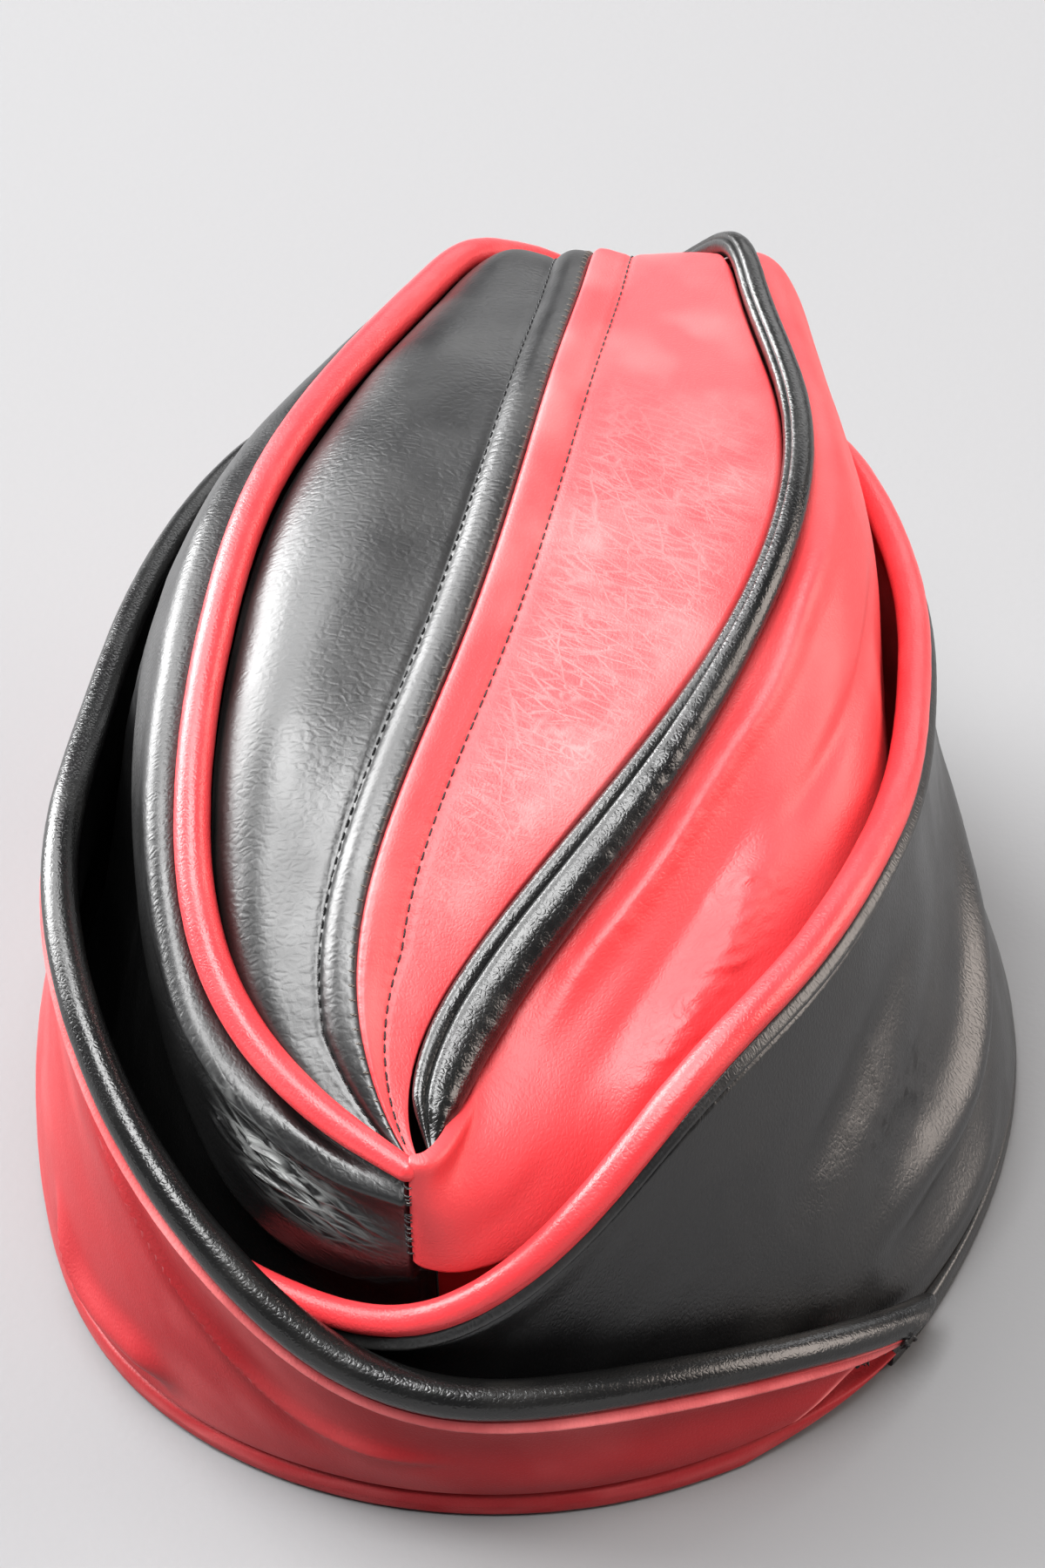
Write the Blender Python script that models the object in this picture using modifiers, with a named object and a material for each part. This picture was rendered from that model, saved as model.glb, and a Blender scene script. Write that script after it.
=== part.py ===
"""Leather garrison cap in a red and black harlequin pattern, open as it is worn.

Millimetres in the tables, metres in the meshes. +Z is up and the rim stands on z = 0.
The front of the cap, where the two turn-ups cross, faces -Y; +X is the cap's right.
A place round the rim is an angle from the front, positive towards +X, and a distance
"out" from the rim's oval. A place along the crown is a station y between its two tips.
"""
import math
from collections import namedtuple

import bmesh
import bpy
import numpy as np
from mathutils import Vector

MM = 0.001

# Driving sizes, in millimetres
RIM_HALF_WIDTH = 85.5
RIM_HALF_LENGTH = 100.3
RIM_CENTRE_Y = -0.6
HEM_HEIGHT = 5.0
HEM_THICKNESS = 3.0
HEM_ROUNDING = 0.8
LEATHER = 1.6
FACING = 1.2
TOP_LEATHER = 1.4
CORD_SET_BACK = 0.8
GAP = 0.35
FOOT_HEIGHT = 1.0
ANKLE_HEIGHT = 8.0
WAIST_HEIGHT = 40.0
FLAP_BASE = 5.9
FACING_TRIM = 0.6
EDGE_ROOM = 0.5
EDGE_SHIFT = 0.8
SEAM_LIP = 1.2
CROWN_FRONT_Y = -98.7
CROWN_BACK_Y = 112.0
FRONT_SEAM_X = -1.6
TAIL_ANGLE = 52.0
TUCK_ANGLE = -22.0
BACK_ANGLE = 179.9
CORD_BACK_ANGLE = 179.3
SEAM_ALLOWANCE = 7.0
SEAM_RIDGE = 1.0
TOP_DOME = 1.5
LEFT_TOP_START = 6.0
RIGHT_TOP_START = 5.0
TOP_END = 2.6
SEAM_EDGE = 0.6

# Counts of sections and of points across them
CROWN_SECTIONS = 26
CROWN_ACROSS = 10
TOP_SECTIONS = 24
CORD_SECTIONS = 46
WELT_SECTIONS = 30
FLAP_STEP = 7.5
CORD_STEP = 5.5
WELT_SIDES = 10
FLAP_ACROSS = 6

# Middle of the whole cap's box, moved to the origin
BOX_MIDDLE = Vector((0.85, -0.2, 0.0))

CordFrame = namedtuple("CordFrame", "point across above width depth")

RED = (0.62, 0.030, 0.036)
BLACK = (0.012, 0.012, 0.013)

# Crest of the crown: the centre seam's place, and each crest's distance from it and height
CREST_COLUMNS = "y seam_x seam_z left_w left_z right_w right_z"
CREST_ROWS = (
    (-98.7, 0.0, 68.6, 2.4, 71.0, 2.3, 71.0),
    (-92.0, -5.8, 72.6, 7.5, 72.1, 6.3, 72.8),
    (-84.0, -10.7, 79.0, 13.7, 75.0, 11.6, 76.0),
    (-68.0, -14.2, 89.6, 23.7, 83.6, 21.8, 84.5),
    (-48.0, -11.3, 100.9, 32.6, 96.5, 32.4, 96.4),
    (-22.0, -5.2, 111.4, 39.5, 109.3, 40.4, 108.4),
    (10.0, -0.8, 120.0, 41.1, 116.6, 44.3, 117.4),
    (40.0, 1.3, 123.5, 35.4, 118.0, 39.5, 119.7),
    (70.0, 2.0, 119.4, 26.9, 115.6, 29.0, 120.3),
    (85.0, 1.6, 114.5, 21.5, 112.5, 23.8, 118.2),
    (97.0, 1.0, 104.5, 15.5, 105.0, 16.2, 106.0),
    (107.0, 0.4, 95.0, 8.0, 96.2, 8.3, 95.6),
    (112.0, 0.0, 90.0, 2.3, 90.0, 2.3, 90.0),
)

# Cords on the crest: half width, half thickness and outward tilt of the section
CREST_CORD_COLUMNS = "y left_r right_w right_t right_tilt"
CREST_CORD_ROWS = (
    (-98.7, 1.9, 1.7, 1.7, 10.0),
    (-92.0, 2.4, 3.0, 2.0, 20.0),
    (-84.0, 2.7, 4.6, 2.4, 30.0),
    (-68.0, 2.9, 5.2, 2.6, 35.0),
    (-48.0, 2.9, 4.6, 2.6, 35.0),
    (-22.0, 2.9, 3.2, 2.6, 20.0),
    (10.0, 2.9, 2.6, 2.5, 5.0),
    (70.0, 2.9, 2.4, 2.4, 0.0),
    (112.0, 2.0, 1.9, 1.9, 0.0),
)

# The rim's way out of its oval, and how far inside it the crown's foot stands
RIM_COLUMNS = "angle rim_out foot_in"
RIM_ROWS = (
    (-180.0, 0.0, 4.6),
    (-120.0, 0.0, 4.6),
    (-75.0, -1.5, 4.8),
    (-46.0, 1.2, 4.8),
    (-20.0, 1.0, 5.8),
    (10.0, 0.6, 5.8),
    (36.0, 2.6, 7.0),
    (50.0, 3.0, 7.0),
    (64.0, 1.0, 5.6),
    (90.0, 0.0, 5.0),
    (180.0, 0.0, 4.6),
)

# Crown sides: way out in plan, place of the foot on the rim, three folds below the crest
# and the waist's way out from the rim's oval
SIDE_COLUMNS = (
    "y heading foot roll_out roll_drop fold_out fold_drop belly_out belly_drop waist_out"
)
LEFT_SIDE_ROWS = (
    (-98.7, 10, 2, 1.2, 5.0, 0.6, 12.0, -0.3, 22.0, -3.4),
    (-84.0, 39, 18, 4.6, 4.0, 5.0, 11.0, 7.5, 25.0, -4.4),
    (-68.0, 62, 38, 5.0, 4.3, 6.5, 10.0, 8.5, 20.0, -6.0),
    (-48.0, 74, 56, 6.0, 4.3, 8.5, 9.5, 10.5, 18.0, -9.0),
    (-22.0, 86, 74, 7.0, 4.3, 11.0, 8.5, 14.5, 17.0, -13.0),
    (10.0, 97, 96, 7.5, 4.3, 12.0, 8.5, 16.0, 18.0, -14.5),
    (40.0, 107, 117, 7.0, 4.3, 11.5, 8.5, 15.5, 18.0, -13.0),
    (70.0, 117, 137, 6.5, 4.3, 10.0, 8.5, 13.5, 18.0, -9.0),
    (85.0, 130, 150, 6.0, 4.3, 9.0, 9.0, 11.0, 17.0, -6.0),
    (97.0, 148, 163, 5.0, 4.3, 5.5, 9.5, 5.0, 16.0, -4.0),
    (112.0, 178, 178, 2.4, 5.0, 1.6, 9.5, -3.0, 18.0, -3.0),
)
RIGHT_SIDE_ROWS = (
    (-98.7, 10, 2, 1.2, 5.0, 0.6, 12.0, -0.3, 22.0, -3.4),
    (-84.0, 65, 20, 6.5, 6.0, 13.0, 10.0, 20.0, 20.0, -5.0),
    (-68.0, 72, 38, 8.5, 6.0, 19.0, 10.0, 30.0, 17.0, -9.0),
    (-48.0, 80, 56, 8.5, 6.0, 18.0, 10.0, 28.0, 16.0, -13.5),
    (-22.0, 86, 74, 7.5, 5.0, 15.0, 9.5, 22.0, 17.0, -16.5),
    (10.0, 92, 95, 7.0, 4.3, 10.5, 9.0, 13.5, 18.0, -18.5),
    (40.0, 102, 115, 6.0, 4.3, 8.5, 9.0, 11.5, 18.0, -17.5),
    (70.0, 115, 138, 6.5, 4.3, 9.5, 9.0, 12.0, 18.0, -14.5),
    (85.0, 130, 150, 6.5, 4.3, 9.0, 9.0, 10.5, 17.0, -10.0),
    (97.0, 148, 163, 5.0, 4.3, 5.5, 9.5, 5.0, 16.0, -6.0),
    (112.0, 178, 178, 2.4, 5.0, 1.6, 9.5, -3.0, 18.0, -3.0),
)

# Turn-ups: base, crease and waist of the outer face, and the cord along the free edge
FLAP_COLUMNS = "angle base_out fold_out fold_z waist_out edge_out edge_z cord_r"
LEFT_FLAP_ROWS = (
    (57.0, 1.6, 3.2, 7.0, 3.4, 3.8, 8.1, 2.8),
    (36.0, 1.6, 5.0, 10.0, 5.2, 5.0, 24.0, 3.0),
    (17.0, 3.0, 5.4, 10.0, 6.2, 6.8, 31.0, 3.2),
    (2.0, 3.4, 6.0, 11.0, 7.5, 10.0, 35.0, 3.3),
    (-10.0, 3.4, 6.0, 13.0, 7.5, 9.5, 42.0, 3.3),
    (-20.0, 3.2, 6.0, 17.0, 7.0, 7.5, 52.0, 3.2),
    (-36.0, 2.4, 4.5, 24.0, 3.8, 2.1, 67.0, 3.1),
    (-53.0, 0.8, 0.5, 28.0, -2.5, -5.2, 80.0, 3.0),
    (-76.0, 0.0, -4.2, 30.0, -10.4, -15.8, 84.5, 2.8),
    (-100.0, 0.0, -5.2, 32.0, -12.2, -17.8, 85.5, 2.4),
    (-127.0, 0.0, -3.6, 32.0, -7.4, -10.8, 84.0, 2.2),
    (-150.0, 0.0, 0.5, 32.0, 0.5, 1.5, 77.5, 2.3),
    (-165.0, 0.0, 1.5, 32.0, 5.0, 8.0, 71.5, 2.5),
    (-180.0, 0.0, 2.0, 32.0, 6.5, 11.0, 69.0, 2.5),
    (-195.0, 0.0, 1.5, 32.0, 5.0, 8.0, 71.5, 2.5),
)
RIGHT_FLAP_ROWS = (
    (-28.0, -1.0, -0.5, 15.0, -1.0, -1.5, 40.5, 2.3),
    (-14.0, -0.8, 0.0, 15.0, 1.0, 2.0, 42.2, 2.4),
    (0.0, -0.6, 0.5, 15.0, 2.0, 3.8, 45.3, 2.5),
    (12.0, -0.8, 0.5, 18.0, 1.5, 2.0, 58.0, 2.7),
    (27.0, -1.5, 0.0, 25.0, -1.5, -6.0, 76.0, 2.9),
    (48.0, -2.4, -1.9, 28.0, -7.6, -13.7, 84.5, 2.9),
    (60.0, -1.0, -3.8, 28.0, -10.4, -16.5, 86.5, 2.9),
    (76.0, 0.0, -5.0, 28.0, -12.5, -19.0, 87.0, 2.9),
    (94.0, 0.0, -6.0, 28.0, -14.0, -20.5, 86.0, 2.8),
    (115.0, 0.0, -6.5, 28.0, -13.0, -17.5, 84.5, 2.7),
    (138.0, 0.0, -4.0, 28.0, -7.5, -9.0, 82.0, 2.6),
    (152.0, 0.0, 0.0, 30.0, 0.0, 0.5, 77.0, 2.6),
    (166.0, 0.0, 1.5, 32.0, 5.0, 8.0, 71.5, 2.6),
    (180.0, 0.0, 2.0, 32.0, 6.5, 11.0, 69.0, 2.6),
    (194.0, 0.0, 1.5, 32.0, 5.0, 8.0, 71.5, 2.6),
)


def smooth(knots, values, places):
    """Read a natural cubic spline through the knots at the given places."""
    knots = np.asarray(knots, float)
    values = np.asarray(values, float)
    if knots[0] > knots[-1]:
        knots, values = knots[::-1], values[::-1]
    step = np.diff(knots)
    slope = np.diff(values) / step
    count = len(knots)
    matrix = np.eye(count)
    right = np.zeros(count)
    for i in range(1, count - 1):
        matrix[i, i - 1 : i + 2] = step[i - 1], 2 * (step[i - 1] + step[i]), step[i]
        right[i] = 6 * (slope[i] - slope[i - 1])
    bend = np.linalg.solve(matrix, right)
    places = np.asarray(places, float)
    cell = np.clip(np.searchsorted(knots, places) - 1, 0, count - 2)
    width = step[cell]
    ahead = (places - knots[cell]) / width
    behind = 1 - ahead
    curve = (behind**3 - behind) * bend[cell] + (ahead**3 - ahead) * bend[cell + 1]
    return behind * values[cell] + ahead * values[cell + 1] + curve * width**2 / 6


def table(columns, rows, places):
    """Fill a table in between its rows: one named row for each place."""
    row_type = namedtuple("Row", columns)
    knots = [row[0] for row in rows]
    filled = [smooth(knots, [row[i] for row in rows], places) for i in range(len(rows[0]))]
    return [row_type(*values) for values in zip(*filled)]


def stations(front, back, count):
    """Places from front to back, closer together near the two tips."""
    turn = np.linspace(0, math.pi, count)
    return (front + back) / 2 - (back - front) / 2 * np.cos(turn)


def angles(start, end, step):
    """Even angles from start to end, about one step apart."""
    return np.linspace(start, end, round(abs(end - start) / step) + 1)


def rim_at(angle):
    """The rim's row at one angle."""
    return table(RIM_COLUMNS, RIM_ROWS, [angle])[0]


def rim_point(angle, out, height):
    """A point at a distance out from the rim's oval."""
    turn = math.radians(angle)
    x = (RIM_HALF_WIDTH + out) * math.sin(turn)
    y = RIM_CENTRE_Y - (RIM_HALF_LENGTH + out) * math.cos(turn)
    return Vector((x, y, height))


def through(points, count, trim=0):
    """Even steps along a smooth line through a few points, less a trim at both ends."""
    points = [Vector(point) for point in points]
    steps = [(b - a).length for a, b in zip(points, points[1:])]
    knots = np.concatenate(([0], np.cumsum(steps)))
    places = np.linspace(trim, knots[-1] - trim, count)
    lines = [smooth(knots, [point[axis] for point in points], places) for axis in range(3)]
    return [Vector(values) for values in zip(*lines)]


def new_collection(name):
    """A collection of this name, linked to the scene."""
    collection = bpy.data.collections.new(name)
    bpy.context.scene.collection.children.link(collection)
    return collection


def leather(name, colour, roughness):
    """Plain leather of one colour."""
    material = bpy.data.materials.new(name)
    material.use_nodes = True
    shader = material.node_tree.nodes["Principled BSDF"]
    shader.inputs["Base Color"].default_value = (*colour, 1)
    shader.inputs["Roughness"].default_value = roughness
    shader.inputs["Metallic"].default_value = 0
    material.diffuse_color = (*colour, 1)
    return material


def add_object(name, data, colour, roughness=0.4):
    """Put the data in the cap's collection as an object with its own leather."""
    piece = bpy.data.objects.new(name, data)
    bpy.data.collections["garrison_cap"].objects.link(piece)
    data.materials.append(leather(name + "_leather", colour, roughness))
    return piece


def finish_mesh(name, built):
    """Turn a bmesh in millimetres into a smooth-shaded mesh in metres."""
    bmesh.ops.translate(built, vec=-BOX_MIDDLE, verts=built.verts)
    bmesh.ops.scale(built, vec=(MM, MM, MM), verts=built.verts)
    mesh = bpy.data.meshes.new(name)
    built.to_mesh(mesh)
    built.free()
    mesh.shade_smooth()
    mesh.set_sharp_from_angle(angle=math.radians(45))
    return mesh


def sheet(name, sections, thickness, colour, outward):
    """A leather panel: an open surface through its sections, thickened inwards."""
    built = bmesh.new()
    rows = [[built.verts.new(point) for point in section] for section in sections]
    for row, following in zip(rows, rows[1:]):
        for i in range(len(row) - 1):
            corners = [row[i], following[i], following[i + 1], row[i + 1]]
            built.faces.new(corners if outward else corners[::-1])
    piece = add_object(name, finish_mesh(name, built), colour)
    solid = piece.modifiers.new("thickness", "SOLIDIFY")
    solid.thickness = thickness * MM
    solid.offset = -1
    solid.use_even_offset = True
    solid.use_quality_normals = True
    return piece


def loft(name, sections, colour):
    """A closed body through closed sections, with a flat cap at each end."""
    built = bmesh.new()
    rows = [[built.verts.new(point) for point in section] for section in sections]
    for row, following in zip(rows, rows[1:]):
        for i in range(len(row)):
            j = (i + 1) % len(row)
            built.faces.new((row[i], following[i], following[j], row[j]))
    built.faces.new(rows[0])
    built.faces.new(rows[-1][::-1])
    bmesh.ops.recalc_face_normals(built, faces=built.faces)
    return add_object(name, finish_mesh(name, built), colour)


def cord(name, points, radii, colour):
    """A round cord whose radius follows the points."""
    curve = bpy.data.curves.new(name, "CURVE")
    curve.dimensions = "3D"
    curve.bevel_depth = max(radii) * MM
    curve.bevel_resolution = 2
    curve.use_fill_caps = True
    spline = curve.splines.new("POLY")
    spline.points.add(len(points) - 1)
    for knot, point, radius in zip(spline.points, points, radii):
        knot.co = (*((point - BOX_MIDDLE) * MM), 1)
        knot.radius = radius / max(radii)
    return add_object(name, curve, colour, 0.3)


def crest_frames(places, side):
    """The crest's line and its cord's section on one side: -1 is the left, 1 the right."""
    crests = table(CREST_COLUMNS, CREST_ROWS, places)
    cords = table(CREST_CORD_COLUMNS, CREST_CORD_ROWS, places)
    points = []
    for crest in crests:
        reach, height = (-crest.left_w, crest.left_z) if side < 0 else (crest.right_w, crest.right_z)
        points.append(Vector((crest.seam_x + reach, crest.y, height)))
    frames = []
    for i, (point, row) in enumerate(zip(points, cords)):
        along = points[min(i + 1, len(points) - 1)] - points[max(i - 1, 0)]
        along.normalize()
        level = along.cross(Vector((0, 0, side))).normalized()
        upright = level.cross(along) * side
        tilt = math.radians(row.right_tilt if side > 0 else 0)
        across = level * math.cos(tilt) - upright * math.sin(tilt)
        above = upright * math.cos(tilt) + level * math.sin(tilt)
        size = (row.right_w, row.right_t) if side > 0 else (row.left_r, row.left_r)
        frames.append(CordFrame(point, across, above, *size))
    return frames


def lap_point(frame, target):
    """Where a panel that runs straight in to the target leaves the cord, just clear of it."""
    reach = target - frame.point
    wide = frame.width + 1.5 * GAP
    deep = frame.depth + 1.5 * GAP
    level = -reach.dot(frame.across) / wide
    height = reach.dot(frame.above) / deep
    turn = math.atan2(height, level) - math.acos(min(1, 1 / math.hypot(level, height)))
    turn = max(turn, -math.pi * 0.4)
    return frame.point - frame.across * wide * math.cos(turn) + frame.above * deep * math.sin(turn)


def crown_side(name, side, rows, colour):
    """One side of the crown, from below the crest's cord to its foot inside the hem."""
    places = stations(CROWN_FRONT_Y, CROWN_BACK_Y, CROWN_SECTIONS)
    frames = crest_frames(places, side)
    sections = []
    for frame, fold in zip(frames, table(SIDE_COLUMNS, rows, places)):
        turn = math.radians(fold.heading)
        way = Vector((side * math.sin(turn), -math.cos(turn), 0))
        below = frame.above * (frame.depth + 2 * GAP)
        line = [frame.point + frame.across * frame.width / 2 - below]
        for out, drop in (
            (fold.roll_out, fold.roll_drop),
            (fold.fold_out, fold.fold_drop),
            (fold.belly_out, fold.belly_drop),
        ):
            line.append(frame.point + way * out - Vector((0, 0, drop)))
        foot = side * fold.foot
        foot_out = rim_at(foot).rim_out - rim_at(foot).foot_in
        line.append(rim_point(foot, fold.waist_out, WAIST_HEIGHT))
        line.append(rim_point(foot, foot_out, ANKLE_HEIGHT))
        line.append(rim_point(foot, foot_out, FOOT_HEIGHT))
        sections.append(through(line, CROWN_ACROSS))
    sections = with_lip(sections, 0, side)
    sections = with_lip(sections[::-1], FRONT_SEAM_X, side)[::-1]
    return sheet(name, sections, LEATHER, colour, side < 0)


def with_lip(sections, seam_x, side):
    """The sections, with the last one turned square to a seam and a lip added there."""
    folded, edge = [
        [Vector((seam_x + side * reach, point.y, point.z)) for point in sections[-1]]
        for reach in (SEAM_LIP + GAP / 2, GAP / 2)
    ]
    return sections[:-1] + [folded, edge]


def crown_top(name, side, start, colour):
    """Half of the leaf-shaped top, from the crest's cord to the centre seam."""
    places = stations(CROWN_FRONT_Y + start, CROWN_BACK_Y - TOP_END, TOP_SECTIONS)
    crests = table(CREST_COLUMNS, CREST_ROWS, places)
    sections = []
    for crest, frame in zip(crests, crest_frames(places, side)):
        seam = Vector((crest.seam_x + side * GAP / 2, crest.y, crest.seam_z))
        edge = lap_point(frame, seam)
        half = (edge - seam).length
        ridge = min(SEAM_ALLOWANCE, half / 2)
        rise = SEAM_RIDGE * ridge / SEAM_ALLOWANCE
        dome = TOP_DOME * min(1, half / 30) ** 2
        plain = 1 - ridge / half
        across = []
        for share, lift in (
            (0, 0),
            (0.25 * plain, 0.8 * dome),
            (0.6 * plain, dome),
            (plain, 0.2 * dome),
            (1 - 0.8 * ridge / half, rise),
        ):
            point = edge.lerp(seam, share)
            point.z += lift
            across.append(point)
        across.append(seam + Vector((side * SEAM_EDGE, 0, rise)))
        across.append(seam + Vector((0, 0, rise)))
        sections.append(across)
    panel = sheet(name, sections, TOP_LEATHER, colour, side > 0)
    panel.modifiers["thickness"].use_even_offset = False
    return panel


def crest_cord(name, colour):
    """The round cord along the left crest."""
    places = stations(CROWN_FRONT_Y, CROWN_BACK_Y - CORD_SET_BACK, CORD_SECTIONS)
    frames = crest_frames(places, -1)
    return cord(name, [frame.point for frame in frames], [frame.width for frame in frames], colour)


def crest_welt(name, colour):
    """The right crest's cord, which flattens into a folded welt towards the front."""
    places = stations(CROWN_FRONT_Y, CROWN_BACK_Y - CORD_SET_BACK, WELT_SECTIONS)
    sections = []
    for frame in crest_frames(places, 1):
        section = []
        for k in range(WELT_SIDES):
            turn = 2 * math.pi * k / WELT_SIDES
            offset = frame.across * frame.width * math.cos(turn)
            section.append(frame.point + offset + frame.above * frame.depth * math.sin(turn))
        sections.append(section)
    return loft(name, sections, colour)


def flap_rows(rows, start, end, step):
    """A turn-up's table filled in between two angles."""
    return table(FLAP_COLUMNS, rows, angles(start, end, step))


def flap_line(row, across, trim=0):
    """The outer face of a turn-up at one angle, from its base up to the free edge's cord."""
    edge = rim_point(row.angle, row.edge_out, row.edge_z)
    room = row.edge_z - row.cord_r - GAP - FLAP_BASE
    fold_z = FLAP_BASE + min(row.fold_z - FLAP_BASE, room * 0.5)
    waist_z = (fold_z + row.edge_z - row.cord_r) / 2
    base = rim_point(row.angle, rim_at(row.angle).rim_out + row.base_out, FLAP_BASE)
    fold = rim_point(row.angle, row.fold_out, fold_z)
    waist = rim_point(row.angle, row.waist_out, waist_z)
    up = (edge - waist).normalized()
    outwards = rim_point(row.angle, 1, 0) - rim_point(row.angle, 0, 0)
    outwards -= up * outwards.dot(up)
    shift = outwards.normalized() * EDGE_SHIFT * min(1, room / 12)
    top = edge - up * (row.cord_r + GAP + EDGE_ROOM) + shift
    return through([base, fold, waist, top], across, trim)


def inner_face(sections, depth, side):
    """The sections of a surface moved in by a depth, square to the surface."""
    moved = []
    for i, section in enumerate(sections):
        before = sections[max(i - 1, 0)]
        after = sections[min(i + 1, len(sections) - 1)]
        line = []
        for j, point in enumerate(section):
            along = after[j] - before[j]
            up = section[min(j + 1, len(section) - 1)] - section[max(j - 1, 0)]
            line.append(point + up.cross(along).normalized() * depth * side)
        moved.append(line)
    return moved


def flap(name, rows, start, end, colour, facing_colour):
    """A turn-up between two angles: its outer leather, and the facing behind it."""
    side = 1 if start < end else -1
    filled = flap_rows(rows, start, end, FLAP_STEP)
    face = with_lip([flap_line(row, FLAP_ACROSS) for row in filled], 0, side)
    sheet(name, face, LEATHER, colour, side > 0)
    behind = [flap_line(row, FLAP_ACROSS, FACING_TRIM) for row in filled[1:]]
    behind = inner_face(with_lip(behind, 0, side), LEATHER + GAP, side)
    sheet(name + "_facing", behind, FACING, facing_colour, side > 0)


def flap_cord(name, rows, start, end, colour):
    """The cord along a turn-up's free edge."""
    filled = flap_rows(rows, start, end, CORD_STEP)
    points = [rim_point(row.angle, row.edge_out, row.edge_z) for row in filled]
    return cord(name, points, [row.cord_r for row in filled], colour)


def hem(name, start, end, colour):
    """A flat-bottomed band of folded leather round part of the rim."""
    profile = (
        (-HEM_THICKNESS, 0),
        (-HEM_ROUNDING, 0),
        (0, HEM_ROUNDING),
        (0, HEM_HEIGHT - HEM_ROUNDING),
        (-HEM_ROUNDING, HEM_HEIGHT),
        (-HEM_THICKNESS, HEM_HEIGHT),
    )
    sections = []
    for turn in angles(start, end, FLAP_STEP):
        shift = rim_at(turn).rim_out
        sections.append([rim_point(turn, out + shift, height) for out, height in profile])
    return loft(name, sections, colour)


def build():
    """Make every piece of the cap."""
    for old in list(bpy.data.objects):
        bpy.data.objects.remove(old, do_unlink=True)
    new_collection("garrison_cap")

    crown_top("crown_top_left", -1, LEFT_TOP_START, BLACK)
    crown_top("crown_top_right", 1, RIGHT_TOP_START, RED)
    crown_side("crown_side_left", -1, LEFT_SIDE_ROWS, BLACK)
    crown_side("crown_side_right", 1, RIGHT_SIDE_ROWS, RED)

    crest_cord("crest_piping_left", RED)
    crest_welt("crest_piping_right", BLACK)

    flap("flap_left", LEFT_FLAP_ROWS, TAIL_ANGLE, -BACK_ANGLE, RED, BLACK)
    flap("flap_right", RIGHT_FLAP_ROWS, TUCK_ANGLE, BACK_ANGLE, BLACK, RED)
    flap_cord("flap_piping_left", LEFT_FLAP_ROWS, TAIL_ANGLE + 5, -CORD_BACK_ANGLE, BLACK)
    flap_cord("flap_piping_right", RIGHT_FLAP_ROWS, TUCK_ANGLE, CORD_BACK_ANGLE, RED)

    hem("hem_left", TAIL_ANGLE, -BACK_ANGLE, RED)
    hem("hem_right", TAIL_ANGLE + 0.5, BACK_ANGLE, BLACK)


build()
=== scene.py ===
"""Leather garrison cap in red and black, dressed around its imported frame.

Millimetres in the tables, metres in the meshes. +Z is up and the rim stands on z = 0.
The front of the cap, where the two turn-ups cross, faces -Y; +X is the cap's right.
A place round the rim is an angle from the front, positive towards +X, and a distance
"out" from the rim's oval. A place along the crown is a station y between its two tips.
"""

import logging
import math
from dataclasses import dataclass, field, replace
from enum import Enum

import bpy
import numpy as np
from mathutils import Matrix, Vector


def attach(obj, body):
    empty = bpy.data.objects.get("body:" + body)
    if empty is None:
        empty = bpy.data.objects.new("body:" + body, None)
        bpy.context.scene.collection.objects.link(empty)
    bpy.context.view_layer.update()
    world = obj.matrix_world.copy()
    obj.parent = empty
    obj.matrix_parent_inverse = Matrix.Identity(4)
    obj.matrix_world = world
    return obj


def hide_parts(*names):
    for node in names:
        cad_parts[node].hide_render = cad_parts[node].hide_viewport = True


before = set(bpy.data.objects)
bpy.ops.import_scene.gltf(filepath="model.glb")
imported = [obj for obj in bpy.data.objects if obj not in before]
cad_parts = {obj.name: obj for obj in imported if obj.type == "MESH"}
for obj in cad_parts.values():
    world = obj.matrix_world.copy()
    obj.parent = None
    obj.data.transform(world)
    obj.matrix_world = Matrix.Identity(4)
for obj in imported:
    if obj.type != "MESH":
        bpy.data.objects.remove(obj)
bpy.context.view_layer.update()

Array = np.ndarray
Object = bpy.types.Object
Material = bpy.types.Material
Socket = bpy.types.NodeSocket
Colour = tuple[float, float, float]

LOG = logging.getLogger("garrison_cap")
MM = 0.001
BOX_MIDDLE = np.array([0.85, -0.2, 0.0])
BODY = "root"

# The cap's driving sizes, as in its solids
RIM_HALF_WIDTH = 85.5
RIM_HALF_LENGTH = 100.3
RIM_CENTRE_Y = -0.6
CROWN_FRONT_Y = -98.7
CROWN_BACK_Y = 112.0
FRONT_SEAM_X = -1.6
WAIST_HEIGHT = 40.0
ANKLE_HEIGHT = 8.0
FOOT_HEIGHT = 1.0
HEM_HEIGHT = 5.0
HEM_THICKNESS = 3.0
TAIL_ANGLE = 52.0
TUCK_ANGLE = -22.0
BACK_ANGLE = 179.9
RIM_MEAN_RADIUS = 93.0

# How the leather is worked, whatever the piece
STITCH_BEAT = 2.1
WANDER = 0.45
WANDER_SIZE = 2.4
FINE_WIDTH = 1.0
SHARP_ANGLE = 62.0
SKIVED_SHARE = 0.3
SKIVED_RUN = 3.0
SEAM_GAP = 0.4
CORD_LEAD = 5.0
CORD_END = 179.3

# Whole numbers that scatter a lattice's values
MIXERS = (374761393, 668265263, 974634777, 1274126177)
LONG_MASK, SHORT_MASK = 0xFFFFFFFF, 0xFFFF

# Steps between the crown's stations, as (last station, step), then the steps of the rest
FINE_STATIONS, PLAIN_STATIONS, FAR_COUNT = (-72.0, 0.36), (-30.0, 0.62), 142

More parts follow.
